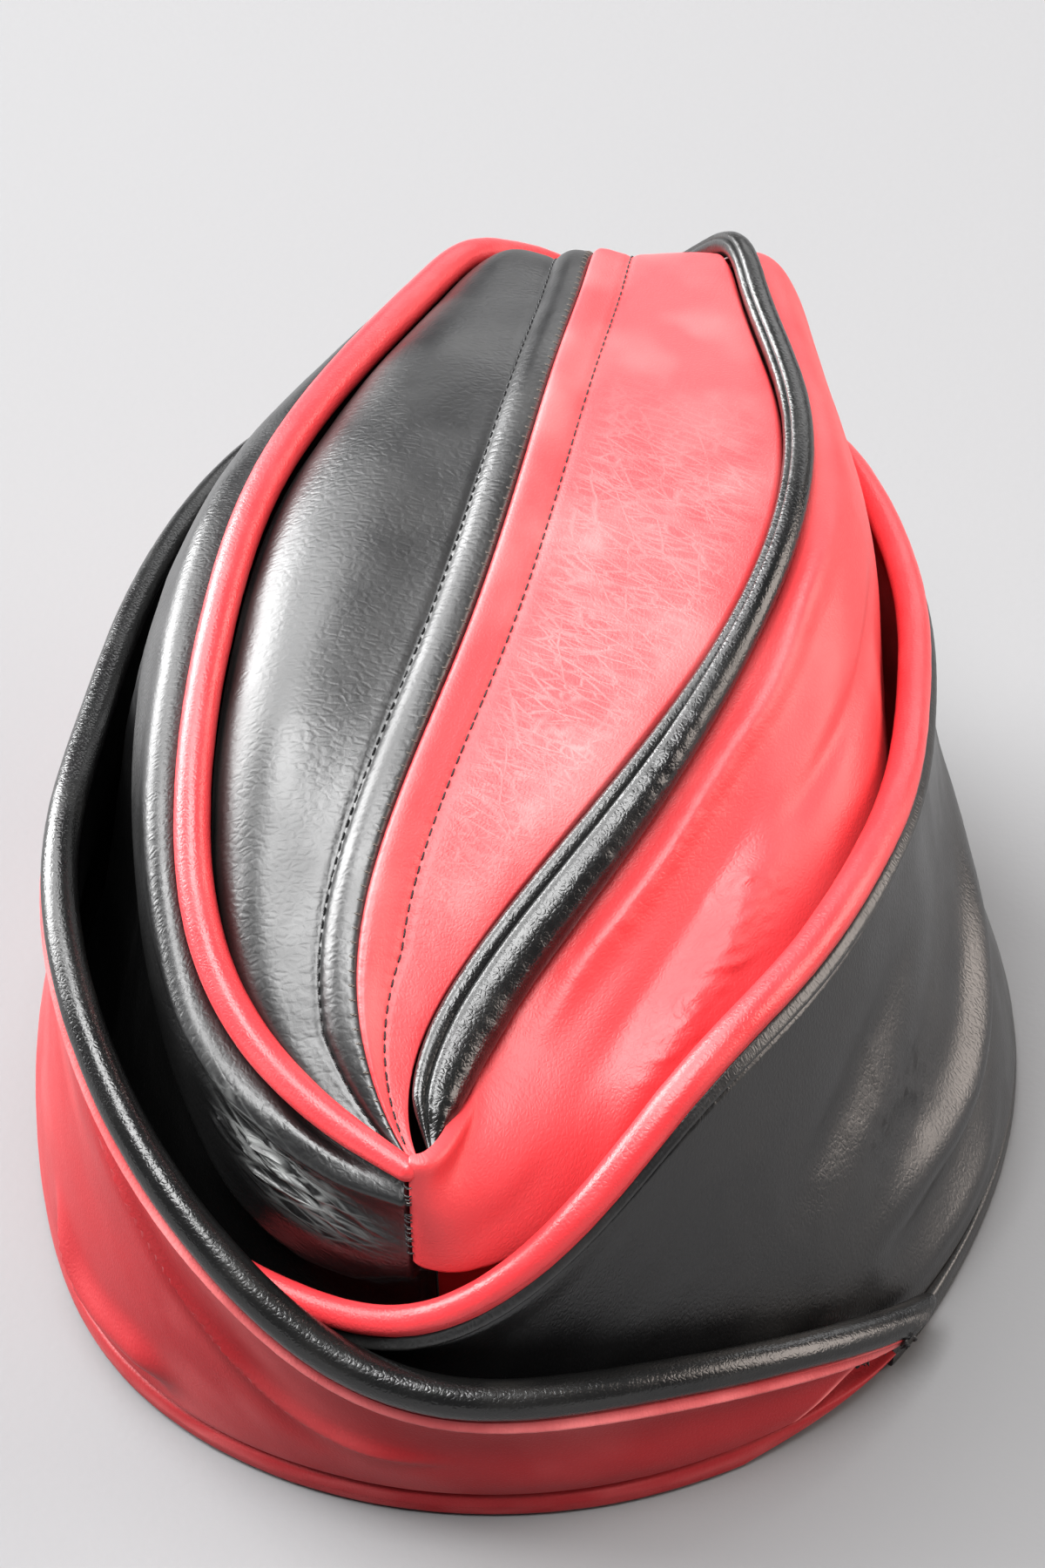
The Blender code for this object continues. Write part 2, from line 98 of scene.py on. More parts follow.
CREST_COLUMNS = "y seam_x seam_z left_w left_z right_w right_z"
CREST_ROWS = (
    (-98.7, 0, 68.6, 2.4, 71, 2.3, 71),
    (-92, -5.8, 72.6, 7.5, 72.1, 6.3, 72.8),
    (-84, -10.7, 79, 13.7, 75, 11.6, 76),
    (-68, -14.2, 89.6, 23.7, 83.6, 21.8, 84.5),
    (-48, -11.3, 100.9, 32.6, 96.5, 32.4, 96.4),
    (-22, -5.2, 111.4, 39.5, 109.3, 40.4, 108.4),
    (10, -0.8, 120, 41.1, 116.6, 44.3, 117.4),
    (40, 1.3, 123.5, 35.4, 118, 39.5, 119.7),
    (70, 2, 119.4, 26.9, 115.6, 29, 120.3),
    (85, 1.6, 114.5, 21.5, 112.5, 23.8, 118.2),
    (97, 1, 104.5, 15.5, 105, 16.2, 106),
    (107, 0.4, 95, 8, 96.2, 8.3, 95.6),
    (112, 0, 90, 2.3, 90, 2.3, 90),
)
CREST_CORD_COLUMNS = "y left_r right_w right_t right_tilt"
CREST_CORD_ROWS = (
    (-98.7, 1.9, 1.7, 1.7, 10),
    (-92, 2.4, 3, 2, 20),
    (-84, 2.7, 4.6, 2.4, 30),
    (-68, 2.9, 5.2, 2.6, 35),
    (-48, 2.9, 4.6, 2.6, 35),
    (-22, 2.9, 3.2, 2.6, 20),
    (10, 2.9, 2.6, 2.5, 5),
    (70, 2.9, 2.4, 2.4, 0),
    (112, 2, 1.9, 1.9, 0),
)
RIM_COLUMNS = "angle rim_out foot_in"
RIM_ROWS = (
    (-180, 0, 4.6),
    (-120, 0, 4.6),
    (-75, -1.5, 4.8),
    (-46, 1.2, 4.8),
    (-20, 1, 5.8),
    (10, 0.6, 5.8),
    (36, 2.6, 7),
    (50, 3, 7),
    (64, 1, 5.6),
    (90, 0, 5),
    (180, 0, 4.6),
)
SIDE_COLUMNS = (
    "y heading foot roll_out roll_drop fold_out fold_drop belly_out belly_drop waist_out"
)
LEFT_SIDE_ROWS = (
    (-98.7, 10, 2, 1.2, 5, 0.6, 12, -0.3, 22, -3.4),
    (-84, 39, 18, 4.6, 4, 5, 11, 7.5, 25, -4.4),
    (-68, 62, 38, 5, 4.3, 6.5, 10, 8.5, 20, -6),
    (-48, 74, 56, 6, 4.3, 8.5, 9.5, 10.5, 18, -9),
    (-22, 86, 74, 7, 4.3, 11, 8.5, 14.5, 17, -13),
    (10, 97, 96, 7.5, 4.3, 12, 8.5, 16, 18, -14.5),
    (40, 107, 117, 7, 4.3, 11.5, 8.5, 15.5, 18, -13),
    (70, 117, 137, 6.5, 4.3, 10, 8.5, 13.5, 18, -9),
    (85, 130, 150, 6, 4.3, 9, 9, 11, 17, -6),
    (97, 148, 163, 5, 4.3, 5.5, 9.5, 5, 16, -4),
    (112, 178, 178, 2.4, 5, 1.6, 9.5, -3, 18, -3),
)
RIGHT_SIDE_ROWS = (
    (-98.7, 10, 2, 1.2, 5, 0.6, 12, -0.3, 22, -3.4),
    (-84, 65, 20, 6.5, 6, 13, 10, 20, 20, -5),
    (-68, 72, 38, 8.5, 6, 19, 10, 30, 17, -9),
    (-48, 80, 56, 8.5, 6, 18, 10, 28, 16, -13.5),
    (-22, 86, 74, 7.5, 5, 15, 9.5, 22, 17, -16.5),
    (10, 92, 95, 7, 4.3, 10.5, 9, 13.5, 18, -18.5),
    (40, 102, 115, 6, 4.3, 8.5, 9, 11.5, 18, -17.5),
    (70, 115, 138, 6.5, 4.3, 9.5, 9, 12, 18, -14.5),
    (85, 130, 150, 6.5, 4.3, 9, 9, 10.5, 17, -10),
    (97, 148, 163, 5, 4.3, 5.5, 9.5, 5, 16, -6),
    (112, 178, 178, 2.4, 5, 1.6, 9.5, -3, 18, -3),
)
FLAP_COLUMNS = "angle base_out fold_out fold_z waist_out edge_out edge_z cord_r"
LEFT_FLAP_ROWS = (
    (57, 1.6, 3.2, 7, 3.4, 3.8, 8.1, 2.8),
    (36, 1.6, 5, 10, 5.2, 5, 24, 3),
    (17, 3, 5.4, 10, 6.2, 6.8, 31, 3.2),
    (2, 3.4, 6, 11, 7.5, 10, 35, 3.3),
    (-10, 3.4, 6, 13, 7.5, 9.5, 42, 3.3),
    (-20, 3.2, 6, 17, 7, 7.5, 52, 3.2),
    (-36, 2.4, 4.5, 24, 3.8, 2.1, 67, 3.1),
    (-53, 0.8, 0.5, 28, -2.5, -5.2, 80, 3),
    (-76, 0, -4.2, 30, -10.4, -15.8, 84.5, 2.8),
    (-100, 0, -5.2, 32, -12.2, -17.8, 85.5, 2.4),
    (-127, 0, -3.6, 32, -7.4, -10.8, 84, 2.2),
    (-150, 0, 0.5, 32, 0.5, 1.5, 77.5, 2.3),
    (-165, 0, 1.5, 32, 5, 8, 71.5, 2.5),
    (-180, 0, 2, 32, 6.5, 11, 69, 2.5),
    (-195, 0, 1.5, 32, 5, 8, 71.5, 2.5),
)
RIGHT_FLAP_ROWS = (
    (-28, -1, -0.5, 15, -1, -1.5, 40.5, 2.3),
    (-14, -0.8, 0, 15, 1, 2, 42.2, 2.4),
    (0, -0.6, 0.5, 15, 2, 3.8, 45.3, 2.5),
    (12, -0.8, 0.5, 18, 1.5, 2, 58, 2.7),
    (27, -1.5, 0, 25, -1.5, -6, 76, 2.9),
    (48, -2.4, -1.9, 28, -7.6, -13.7, 84.5, 2.9),
    (60, -1, -3.8, 28, -10.4, -16.5, 86.5, 2.9),
    (76, 0, -5, 28, -12.5, -19, 87, 2.9),
    (94, 0, -6, 28, -14, -20.5, 86, 2.8),
    (115, 0, -6.5, 28, -13, -17.5, 84.5, 2.7),
    (138, 0, -4, 28, -7.5, -9, 82, 2.6),
    (152, 0, 0, 30, 0, 0.5, 77, 2.6),
    (166, 0, 1.5, 32, 5, 8, 71.5, 2.6),
    (180, 0, 2, 32, 6.5, 11, 69, 2.6),
    (194, 0, 1.5, 32, 5, 8, 71.5, 2.6),
)


class Side(Enum):
    """The two sides of the cap, as the sign of x."""

    LEFT = -1
    RIGHT = 1

    @property
    def word(self) -> str:
        """The side's name in lower case."""
        return self.name.lower()


class Slot(Enum):
    """The material slots that the record gives the cap."""

    BLACK_LEATHER = "black_leather"
    RED_LEATHER = "red_leather"
    BLACK_PIPING = "black_piping"
    RED_PIPING = "red_piping"


class Spline:
    """A natural cubic spline through rows of values."""

    def __init__(self, knots: Array, values: Array) -> None:
        """Solve the spline.

        Args:
            knots: Places of the rows, rising or falling.
            values: One row of values for each knot.
        """
        order = np.argsort(knots)
        self.knots = np.asarray(knots, float)[order]
        self.values = np.asarray(values, float)[order]
        step = np.diff(self.knots)
        slope = np.diff(self.values, axis=0) / step[:, None]
        count = len(self.knots)
        matrix = np.eye(count)
        right = np.zeros_like(self.values)
        for i in range(1, count - 1):
            matrix[i, i - 1 : i + 2] = step[i - 1], 2 * (step[i - 1] + step[i]), step[i]
            right[i] = 6 * (slope[i] - slope[i - 1])
        self.bend = np.linalg.solve(matrix, right)

    def at(self, places: Array) -> Array:
        """Read the spline.

        Args:
            places: Places to read it at.

        Returns:
            One row of values for each place.
        """
        places = np.atleast_1d(np.asarray(places, float))
        cell = np.clip(np.searchsorted(self.knots, places) - 1, 0, len(self.knots) - 2)
        width = np.diff(self.knots)[cell][:, None]
        ahead = (places[:, None] - self.knots[cell][:, None]) / width
        behind = 1 - ahead
        curve = (behind**3 - behind) * self.bend[cell] + (ahead**3 - ahead) * self.bend[cell + 1]
        line = behind * self.values[cell] + ahead * self.values[cell + 1]
        return line + curve * width**2 / 6


class Table:
    """Named columns of sizes, filled in between their rows by smooth curves."""

    def __init__(self, columns: str, rows: tuple) -> None:
        """Keep the columns' names and the curves through the rows.

        Args:
            columns: The columns' names, the first one being the place.
            rows: The sizes, one row for each place.
        """
        self.columns = columns.split()
        data = np.array(rows, float)
        self.spline = Spline(data[:, 0], data)

    def at(self, places: Array) -> np.recarray:
        """The sizes at these places, one named column each."""
        return np.rec.fromarrays(self.spline.at(places).T, names=self.columns)


CREST = Table(CREST_COLUMNS, CREST_ROWS)
CREST_CORD = Table(CREST_CORD_COLUMNS, CREST_CORD_ROWS)
RIM = Table(RIM_COLUMNS, RIM_ROWS)


def unit(vectors: Array) -> Array:
    """The vectors, each made one long."""
    return vectors / np.maximum(np.linalg.norm(vectors, axis=-1, keepdims=True), 1e-9)


def ease(value: Array) -> Array:
    """A smooth step from 0 to 1 as the value goes from 0 to 1."""
    value = np.clip(value, 0, 1)
    return value * value * (3 - 2 * value)


def swell(value: Array, centre: float, width: float) -> Array:
    """A soft hump of height 1 round a centre."""
    return np.exp(-(((value - centre) / width) ** 2))


def length_along(points: Array) -> Array:
    """The running length of a line of points, from 0."""
    steps = np.linalg.norm(np.diff(points, axis=0), axis=-1)
    return np.concatenate(([0], np.cumsum(steps)))


def read_along(places: Array, run: Array, grid: Array) -> Array:
    """The rows of a grid at places along a run, filled in between its rows."""
    return np.stack([np.interp(places, run, column) for column in grid.T], axis=-1)


def through(points: Array, shares: Array) -> Array:
    """Read a smooth line through a few points.

    Args:
        points: The points that the line passes through.
        shares: Places along the line, from 0 to 1.

    Returns:
        One point for each share.
    """
    knots = length_along(points)
    return Spline(knots, points).at(np.asarray(shares) * knots[-1])


def rim_point(angle: Array, out: Array, height: Array) -> Array:
    """Points at a distance out from the rim's oval.

    Args:
        angle: Angles from the front, in degrees.
        out: Distances out from the oval.
        height: Heights above the floor.

    Returns:
        The points, in millimetres.
    """
    turn = np.radians(angle)
    x = (RIM_HALF_WIDTH + out) * np.sin(turn)
    y = RIM_CENTRE_Y - (RIM_HALF_LENGTH + out) * np.cos(turn)
    return np.stack(np.broadcast_arrays(x, y, height), axis=-1).astype(float)


def rim_angles(start: float, end: float, step: float) -> Array:
    """Even angles whose steps are about one length long on the rim."""
    count = round(abs(end - start) * math.pi / 180 * RIM_MEAN_RADIUS / step) + 1
    return np.linspace(start, end, count)


def lattice(i: Array, j: Array, seed: int) -> Array:
    """A fixed random value for each cell of a square lattice.

    Args:
        i: The cells' columns.
        j: The cells' rows.
        seed: Picks one pattern.

    Returns:
        The values, from 0 to 1.
    """
    mixed = (i * MIXERS[0] + j * MIXERS[1] + seed * MIXERS[2]) & LONG_MASK
    mixed = ((mixed ^ (mixed >> 13)) * MIXERS[3]) & LONG_MASK
    return ((mixed ^ (mixed >> 16)) & SHORT_MASK) / SHORT_MASK


def rumple(u: Array, v: Array, seed: int, octaves: int = 3) -> Array:
    """Soft random hills from -1 to 1.

    Args:
        u: First coordinate; one hill is about one unit wide.
        v: Second coordinate.
        seed: Picks one pattern.
        octaves: How many finer patterns are added up.

    Returns:
        The height at each place.
    """
    total, weight = np.zeros(np.broadcast(u, v).shape), 0.0
    for octave in range(octaves):
        size = 2.0**octave
        i, j = np.floor(u * size).astype(np.int64), np.floor(v * size).astype(np.int64)
        a, b = ease(u * size - i), ease(v * size - j)
        key = seed * 17 + octave
        near = lattice(i, j, key) * (1 - a) + lattice(i + 1, j, key) * a
        far = lattice(i, j + 1, key) * (1 - a) + lattice(i + 1, j + 1, key) * a
        total += (near * (1 - b) + far * b) / size
        weight += 1 / size
    return 2 * total / weight - 1


@dataclass(frozen=True)
class CordLine:
    """A cord's centre line with the two directions of its section and their half sizes."""

    point: Array
    across: Array
    above: Array
    width: Array
    depth: Array

    @property
    def along(self) -> Array:
        """The line's direction at each point."""
        return unit(np.gradient(self.point, axis=0))

    def places(self, sides: int) -> tuple[Array, Array]:
        """Places on the cord's skin.

        Args:
            sides: How many there are round each section.

        Returns:
            Each one's running length, and its angle from across towards above.
        """
        turn = np.linspace(0, 2 * math.pi, sides + 1)[:-1]
        run = length_along(self.point)
        return tuple(np.broadcast_arrays(run[:, None], turn[None, :]))

    def rings(self, turn: Array, kept: Array, extra: Array) -> Array:
        """The points of the cord's skin.

        Args:
            turn: Their angles round the section.
            kept: How much of its size each section keeps.
            extra: How far each point stands out from the even section.

        Returns:
            One ring of points for each section.
        """
        wide = (self.width * kept)[:, None] + extra * kept[:, None]
        deep = (self.depth * kept)[:, None] + extra * kept[:, None]
        rings = self.point[:, None] + self.across[:, None] * (wide * np.cos(turn))[..., None]
        return rings + self.above[:, None] * (deep * np.sin(turn))[..., None]


def finish_marks(
    wear_and_highlight: Array, crease: float | Array = 0.0, pleat: float | Array = 0.0
) -> dict[str, Array]:
    """The named values that steer the finishes, each from 0 to 1.

    Args:
        wear_and_highlight: How much each point is lightened: wear, and on the turn-ups' rolled
            strips and cut end a painted highlight.
        crease: How creased it is.
        pleat: How puckered it is, across the piece.

    Returns:
        The values at the points, by name.
    """
    # The first value lightens towards the wear colour: wear, and a painted highlight on the
    # turn-ups' rolled strips and cut end.
    marks = {"wear_and_highlight": wear_and_highlight, "crease": crease, "pleat": pleat}
    return {name: np.clip(wear_and_highlight * 0 + value, 0, 1) for name, value in marks.items()}


def crest_line(places: Array, side: Side) -> CordLine:
    """The crest's line and its cord's section.

    Args:
        places: Stations y.
        side: Which crest.

    Returns:
        The cord's line at the stations.
    """
    crest, cord = CREST.at(places), CREST_CORD.at(places)
    left = side is Side.LEFT
    reach = -crest.left_w if left else crest.right_w
    height = crest.left_z if left else crest.right_z
    point = np.stack([crest.seam_x + reach, crest.y, height], axis=-1)
    along = unit(np.gradient(point, axis=0))
    level = unit(np.cross(along, [0, 0, side.value]))
    upright = np.cross(level, along) * side.value
    tilt = np.radians(np.zeros(len(point)) if left else cord.right_tilt)[:, None]
    across = level * np.cos(tilt) - upright * np.sin(tilt)
    above = upright * np.cos(tilt) + level * np.sin(tilt)
    width = cord.left_r if left else cord.right_w
    depth = cord.left_r if left else cord.right_t
    return CordLine(point, across, above, np.array(width), np.array(depth))


@dataclass(frozen=True)
class Patch:
    """A grid of points: rows run along the piece and columns across it.

    along and across are each point's place on the leather, in millimetres, and outward
    is 1 where (along x across) faces out and -1 where it faces in.
    """

    points: Array
    along: Array
    across: Array
    outward: int

    def normals(self) -> Array:
        """The outward direction at each point."""
        rows, columns = np.gradient(self.points, axis=0), np.gradient(self.points, axis=1)
        return unit(np.cross(rows, columns)) * self.outward

    def lifted(self, height: Array) -> "Patch":
        """The patch moved out by a height at each point."""
        points = self.points + self.normals() * height[..., None]
        return Patch(points, self.along, self.across, self.outward)

    def contour(self, across: float | Array) -> tuple[Array, Array]:
        """The line at one distance across.

        Args:
            across: The distance, the same for all rows or one for each.

        Returns:
            The line's points and its outward directions.
        """
        wanted = np.broadcast_to(across, len(self.points))
        normals = self.normals()
        way = 1 if self.across[0, -1] > self.across[0, 0] else -1
        points, ups = (
            np.array([
                read_along(place, run[::way], row[::way])
                for place, run, row in zip(wanted, self.across, grid)
            ])
            for grid in (self.points, normals)
        )
        return points, unit(ups)


Line = tuple[tuple[float, float], ...]


def line_shares(line: Line) -> tuple[Array, Array]:
    """A line's places as an array, and how far along it each one lies, from 0 to 1."""
    knots = np.array(line, float)
    return knots, length_along(knots) / length_along(knots)[-1]


@dataclass(frozen=True)
class Crease:
    """One fold or wrinkle along a line of places on a panel.

    fade is the share of its length over which it rises from nothing at each end.
    """

    line: Line
    width: float
    height: float
    fade: float

    def height_on(self, patch: Patch) -> Array:
        """The height that the crease adds at each point of a patch.

        Args:
            patch: The patch that it lies on.

        Returns:
            A height for each point.
        """
        knots, shares = line_shares(self.line)
        fine = np.linspace(0, 1, 8 * len(knots))
        line = Spline(shares, knots).at(fine)
        nearest = np.full(patch.along.shape, 1e9)
        share = np.zeros(patch.along.shape)
        for start, end, first, last in zip(line, line[1:], fine, fine[1:]):
            run = end - start
            du, dv = patch.along - start[0], patch.across - start[1]
            way = np.clip((du * run[0] + dv * run[1]) / run.dot(run), 0, 1)
            gap = np.hypot(du - run[0] * way, dv - run[1] * way)
            closer = gap < nearest
            nearest = np.where(closer, gap, nearest)
            share = np.where(closer, first + (last - first) * way, share)
        ends = ease(np.minimum(share, 1 - share) / self.fade)
        return self.height * np.exp(-((nearest / self.width) ** 2)) * ends


@dataclass(frozen=True)
class Crinkles:
    """A field of short wrinkles scattered along a line on a panel.

    heading and scatter are their mean direction and its spread, in degrees, and bend is
    how far a wrinkle strays from straight.
    """

    line: Line
    spread: float
    count: int
    length: float
    width: float
    height: float
    heading: float
    scatter: float
    seed: int
    bend: float = 0.12

    def height_on(self, patch: Patch) -> Array:
        """The height that the wrinkles add at each point of a patch.

        Args:
            patch: The patch that they lie on.

        Returns:
            A height for each point.
        """
        draw = np.random.default_rng(self.seed)
        knots, shares = line_shares(self.line)
        total = np.zeros(patch.along.shape)
        for _ in range(self.count):
            place = draw.random()
            middle = [np.interp(place, shares, knots[:, k]) for k in range(2)]
            middle = np.array(middle) + draw.normal(0, self.spread, 2)
            turn = math.radians(self.heading + draw.normal(0, self.scatter))
            half = self.length * draw.uniform(0.5, 1.2) / 2
            du, dv = patch.along - middle[0], patch.across - middle[1]
            beside = du * math.cos(turn) + dv * math.sin(turn)
            astray = -du * math.sin(turn) + dv * math.cos(turn)
            astray = astray + self.bend * beside * math.sin(draw.uniform(-3, 3))
            hump = np.exp(-((beside / half) ** 2) - (astray / self.width) ** 2)
            total += hump * self.height * draw.uniform(0.4, 1.2)
        return total


@dataclass(frozen=True)
class Ledge:
    """A line below which the leather turns in, as under a full fold.

    It goes in by depth over a run down from the line, and fades out beyond both ends.
    """

    line: Line
    depth: float
    run: float
    fade: float

    def height_on(self, patch: Patch) -> Array:
        """The height that the turn adds at each point of a patch, 0 above the line.

        Args:
            patch: The patch that it lies on.

        Returns:
            A height for each point.
        """
        knots = np.array(sorted(self.line))
        edge = np.interp(patch.along, knots[:, 0], knots[:, 1])
        inside = ease((patch.along - knots[0, 0]) / self.fade + 1)
        inside = inside * ease((knots[-1, 0] - patch.along) / self.fade + 1)
        return -self.depth * ease((patch.across - edge) / self.run) * inside


Folds = tuple[Crease | Crinkles, ...]


def fold_heights(folds: Folds, patch: Patch) -> Array:
    """The heights that folds and wrinkles add. The fine ones' lines wander a little.

    Args:
        folds: Creases and fields of crinkles.
        patch: The patch that they lie on.

    Returns:
        A height for each point.
    """
    u, v = patch.along / WANDER_SIZE, patch.across / WANDER_SIZE
    stray = [rumple(u, v, seed, 2) * WANDER for seed in (201, 202)]
    bent = Patch(patch.points, patch.along + stray[0], patch.across + stray[1], patch.outward)
    height = np.zeros(patch.along.shape)
    for fold in folds:
        height += fold.height_on(bent if fold.width < FINE_WIDTH else patch)
    return height


def grid_faces(rows: int, columns: int, closed: bool = False) -> Array:
    """Quads over a grid of vertices.

    Args:
        rows: Rows of vertices.
        columns: Vertices in a row.
        closed: Whether each row closes on itself.

    Returns:
        Four vertex numbers for each quad.
    """
    i = np.arange(rows - 1)[:, None]
    j = np.arange(columns if closed else columns - 1)[None, :]
    k = (j + 1) % columns
    corners = (i * columns + j, (i + 1) * columns + j, (i + 1) * columns + k, i * columns + k)
    return np.stack(corners, axis=-1).reshape(-1, 4)


def closed_mesh(
    name: str,
    points: Array,
    faces: list[list[int]],
    flat: Array,
    marks: dict[str, Array] | None = None,
    second: int = 0,
) -> Object:
    """A closed mesh with its faces turned out.

    Args:
        name: The object's name.
        points: The vertices, in millimetres in the tables' frame.
        faces: Vertex numbers of each face.
        flat: Each vertex's place on the flat leather, in millimetres.
        marks: Named values at the vertices, for the finishes.
        second: From this face on, the faces take the second material; 0 for none.

    Returns:
        The object, linked to the scene.
    """
    placed = (points - BOX_MIDDLE) * MM
    volume = sum(
        float(np.einsum("ij,ij->i", placed[a], np.cross(placed[b], placed[c])).sum())
        for a, b, c in triangles(faces)
    )
    if volume < 0:
        faces = [face[::-1] for face in faces]
    mesh = bpy.data.meshes.new(name)
    mesh.from_pydata(placed.tolist(), [], faces)
    layer = mesh.uv_layers.new(name="flat")
    corners = np.zeros(len(mesh.loops), np.int32)
    mesh.loops.foreach_get("vertex_index", corners)
    layer.data.foreach_set("uv", (flat[corners] * MM).astype(np.float32).ravel())
    for mark, values in (marks or {}).items():
        attribute = mesh.attributes.new(mark, "FLOAT", "POINT")
        attribute.data.foreach_set("value", np.asarray(values, np.float32).ravel())
    if second:
        index = np.zeros(len(faces), np.int32)
        index[second:] = 1
        mesh.polygons.foreach_set("material_index", index)
    mesh.shade_smooth()
    mesh.set_sharp_from_angle(angle=math.radians(SHARP_ANGLE))
    piece = bpy.data.objects.new(name, mesh)
    bpy.context.scene.collection.objects.link(piece)
    return piece


def triangles(faces: list[list[int]]) -> list[tuple[Array, Array, Array]]:
    """The corners of the triangles that fan out over the faces.

    Args:
        faces: Vertex numbers of each face.

    Returns:
        The three corners' vertex numbers, for the faces of each size.
    """
    found = []
    for size in sorted({len(face) for face in faces}):
        same = np.array([face for face in faces if len(face) == size])
        found += [(same[:, 0], same[:, k], same[:, k + 1]) for k in range(1, size - 1)]
    return found


def leather_panel(
    name: str, outer: Patch, thickness: float | Array, marks: dict[str, Array] | None = None,
    base: Patch | None = None,
) -> Object:
    """A closed leather panel with an outer face and a flesh side.

    Args:
        name: The object's name.
        outer: The outer face.
        thickness: The leather's thickness, the same all over or at each point.
        marks: Named values at the outer face's points.
        base: A smoother patch that the flesh side follows; the outer face if left out.

    Returns:
        The object. Its flesh side and edges take the second material.
    """
    base = base or outer
    depth = np.broadcast_to(thickness, outer.along.shape)[..., None]
    inner = base.points - base.normals() * depth
    rows, columns = outer.along.shape
    count = rows * columns
    quads = grid_faces(rows, columns)
    grid = np.arange(count).reshape(rows, columns)
    ring = np.concatenate([grid[:, 0], grid[-1, 1:], grid[-2::-1, -1], grid[0, -2:0:-1]])
    after = np.roll(ring, -1)
    border = np.stack([after, ring, ring + count, after + count], axis=-1)
    faces = np.concatenate([quads, border, quads[:, ::-1] + count]).tolist()
    points = np.concatenate([outer.points.reshape(-1, 3), inner.reshape(-1, 3)])
    flat = np.stack([outer.along.ravel(), outer.across.ravel()], axis=-1)
    flat = np.concatenate([flat, flat])
    both = {key: np.tile(value.ravel(), 2) for key, value in (marks or {}).items()}
    return closed_mesh(name, points, faces, flat, both, len(quads) + len(border))


def tube(
    name: str, rings: Array, along: Array, marks: dict[str, Array] | None = None
) -> Object:
    """A closed tube through rings of points, with a point of its own in each end.

    Args:
        name: The object's name.
        rings: The rings, as rows of points in millimetres.
        along: The running length of each ring.
        marks: Named values at the rings' points.

    Returns:
        The object.
    """
    rows, columns = rings.shape[:2]
    faces = grid_faces(rows, columns, closed=True).tolist()
    first, last = rows * columns, rows * columns + 1
    start = (rows - 1) * columns
    for j in range(columns):
        k = (j + 1) % columns
        faces.append([j, k, first])
        faces.append([start + k, start + j, last])
    ends = [rings[0].mean(axis=0), rings[-1].mean(axis=0)]
    points = np.concatenate([rings.reshape(-1, 3), ends])
    girth = np.linalg.norm(rings - np.roll(rings, 1, axis=1), axis=-1).cumsum(axis=1)
    flat = np.stack([np.broadcast_to(along[:, None], girth.shape), girth], axis=-1)
    flat = np.concatenate([flat.reshape(-1, 2), flat[0, :1], flat[-1, :1]])
    full = {
        key: np.concatenate([value.ravel(), value[0, :1], value[-1, :1]])
        for key, value in (marks or {}).items()
    }
    return closed_mesh(name, points, faces, flat, full)


def rounded_ends(line: CordLine, steps: int = 6) -> tuple[CordLine, Array]:
    """A cord's line with a rounded end added at both ends.

    Args:
        line: The cord's line.
        steps: Rings in each rounded end.

    Returns:
        The longer line, and how much of its section each ring keeps.
    """
    turn = np.linspace(0, math.pi / 2, steps + 1)[1:]
    turn[-1] = 1.5  # a little under a quarter turn, so that the last ring stays open
    parts: dict[str, Array] = {}
    for key in ("point", "across", "above", "width", "depth"):
        value = getattr(line, key)
        parts[key] = np.concatenate([[value[0]] * steps, value, [value[-1]] * steps])
    along = line.along
    reach = np.sin(turn)[:, None] * np.minimum(line.width, line.depth)[[0, -1], None, None]
    parts["point"][:steps] -= (reach[0] * along[0])[::-1]
    parts["point"][-steps:] += reach[1] * along[-1]
    kept = np.concatenate([np.cos(turn)[::-1], np.ones(len(line.point)), np.cos(turn)])
    return CordLine(**parts), kept


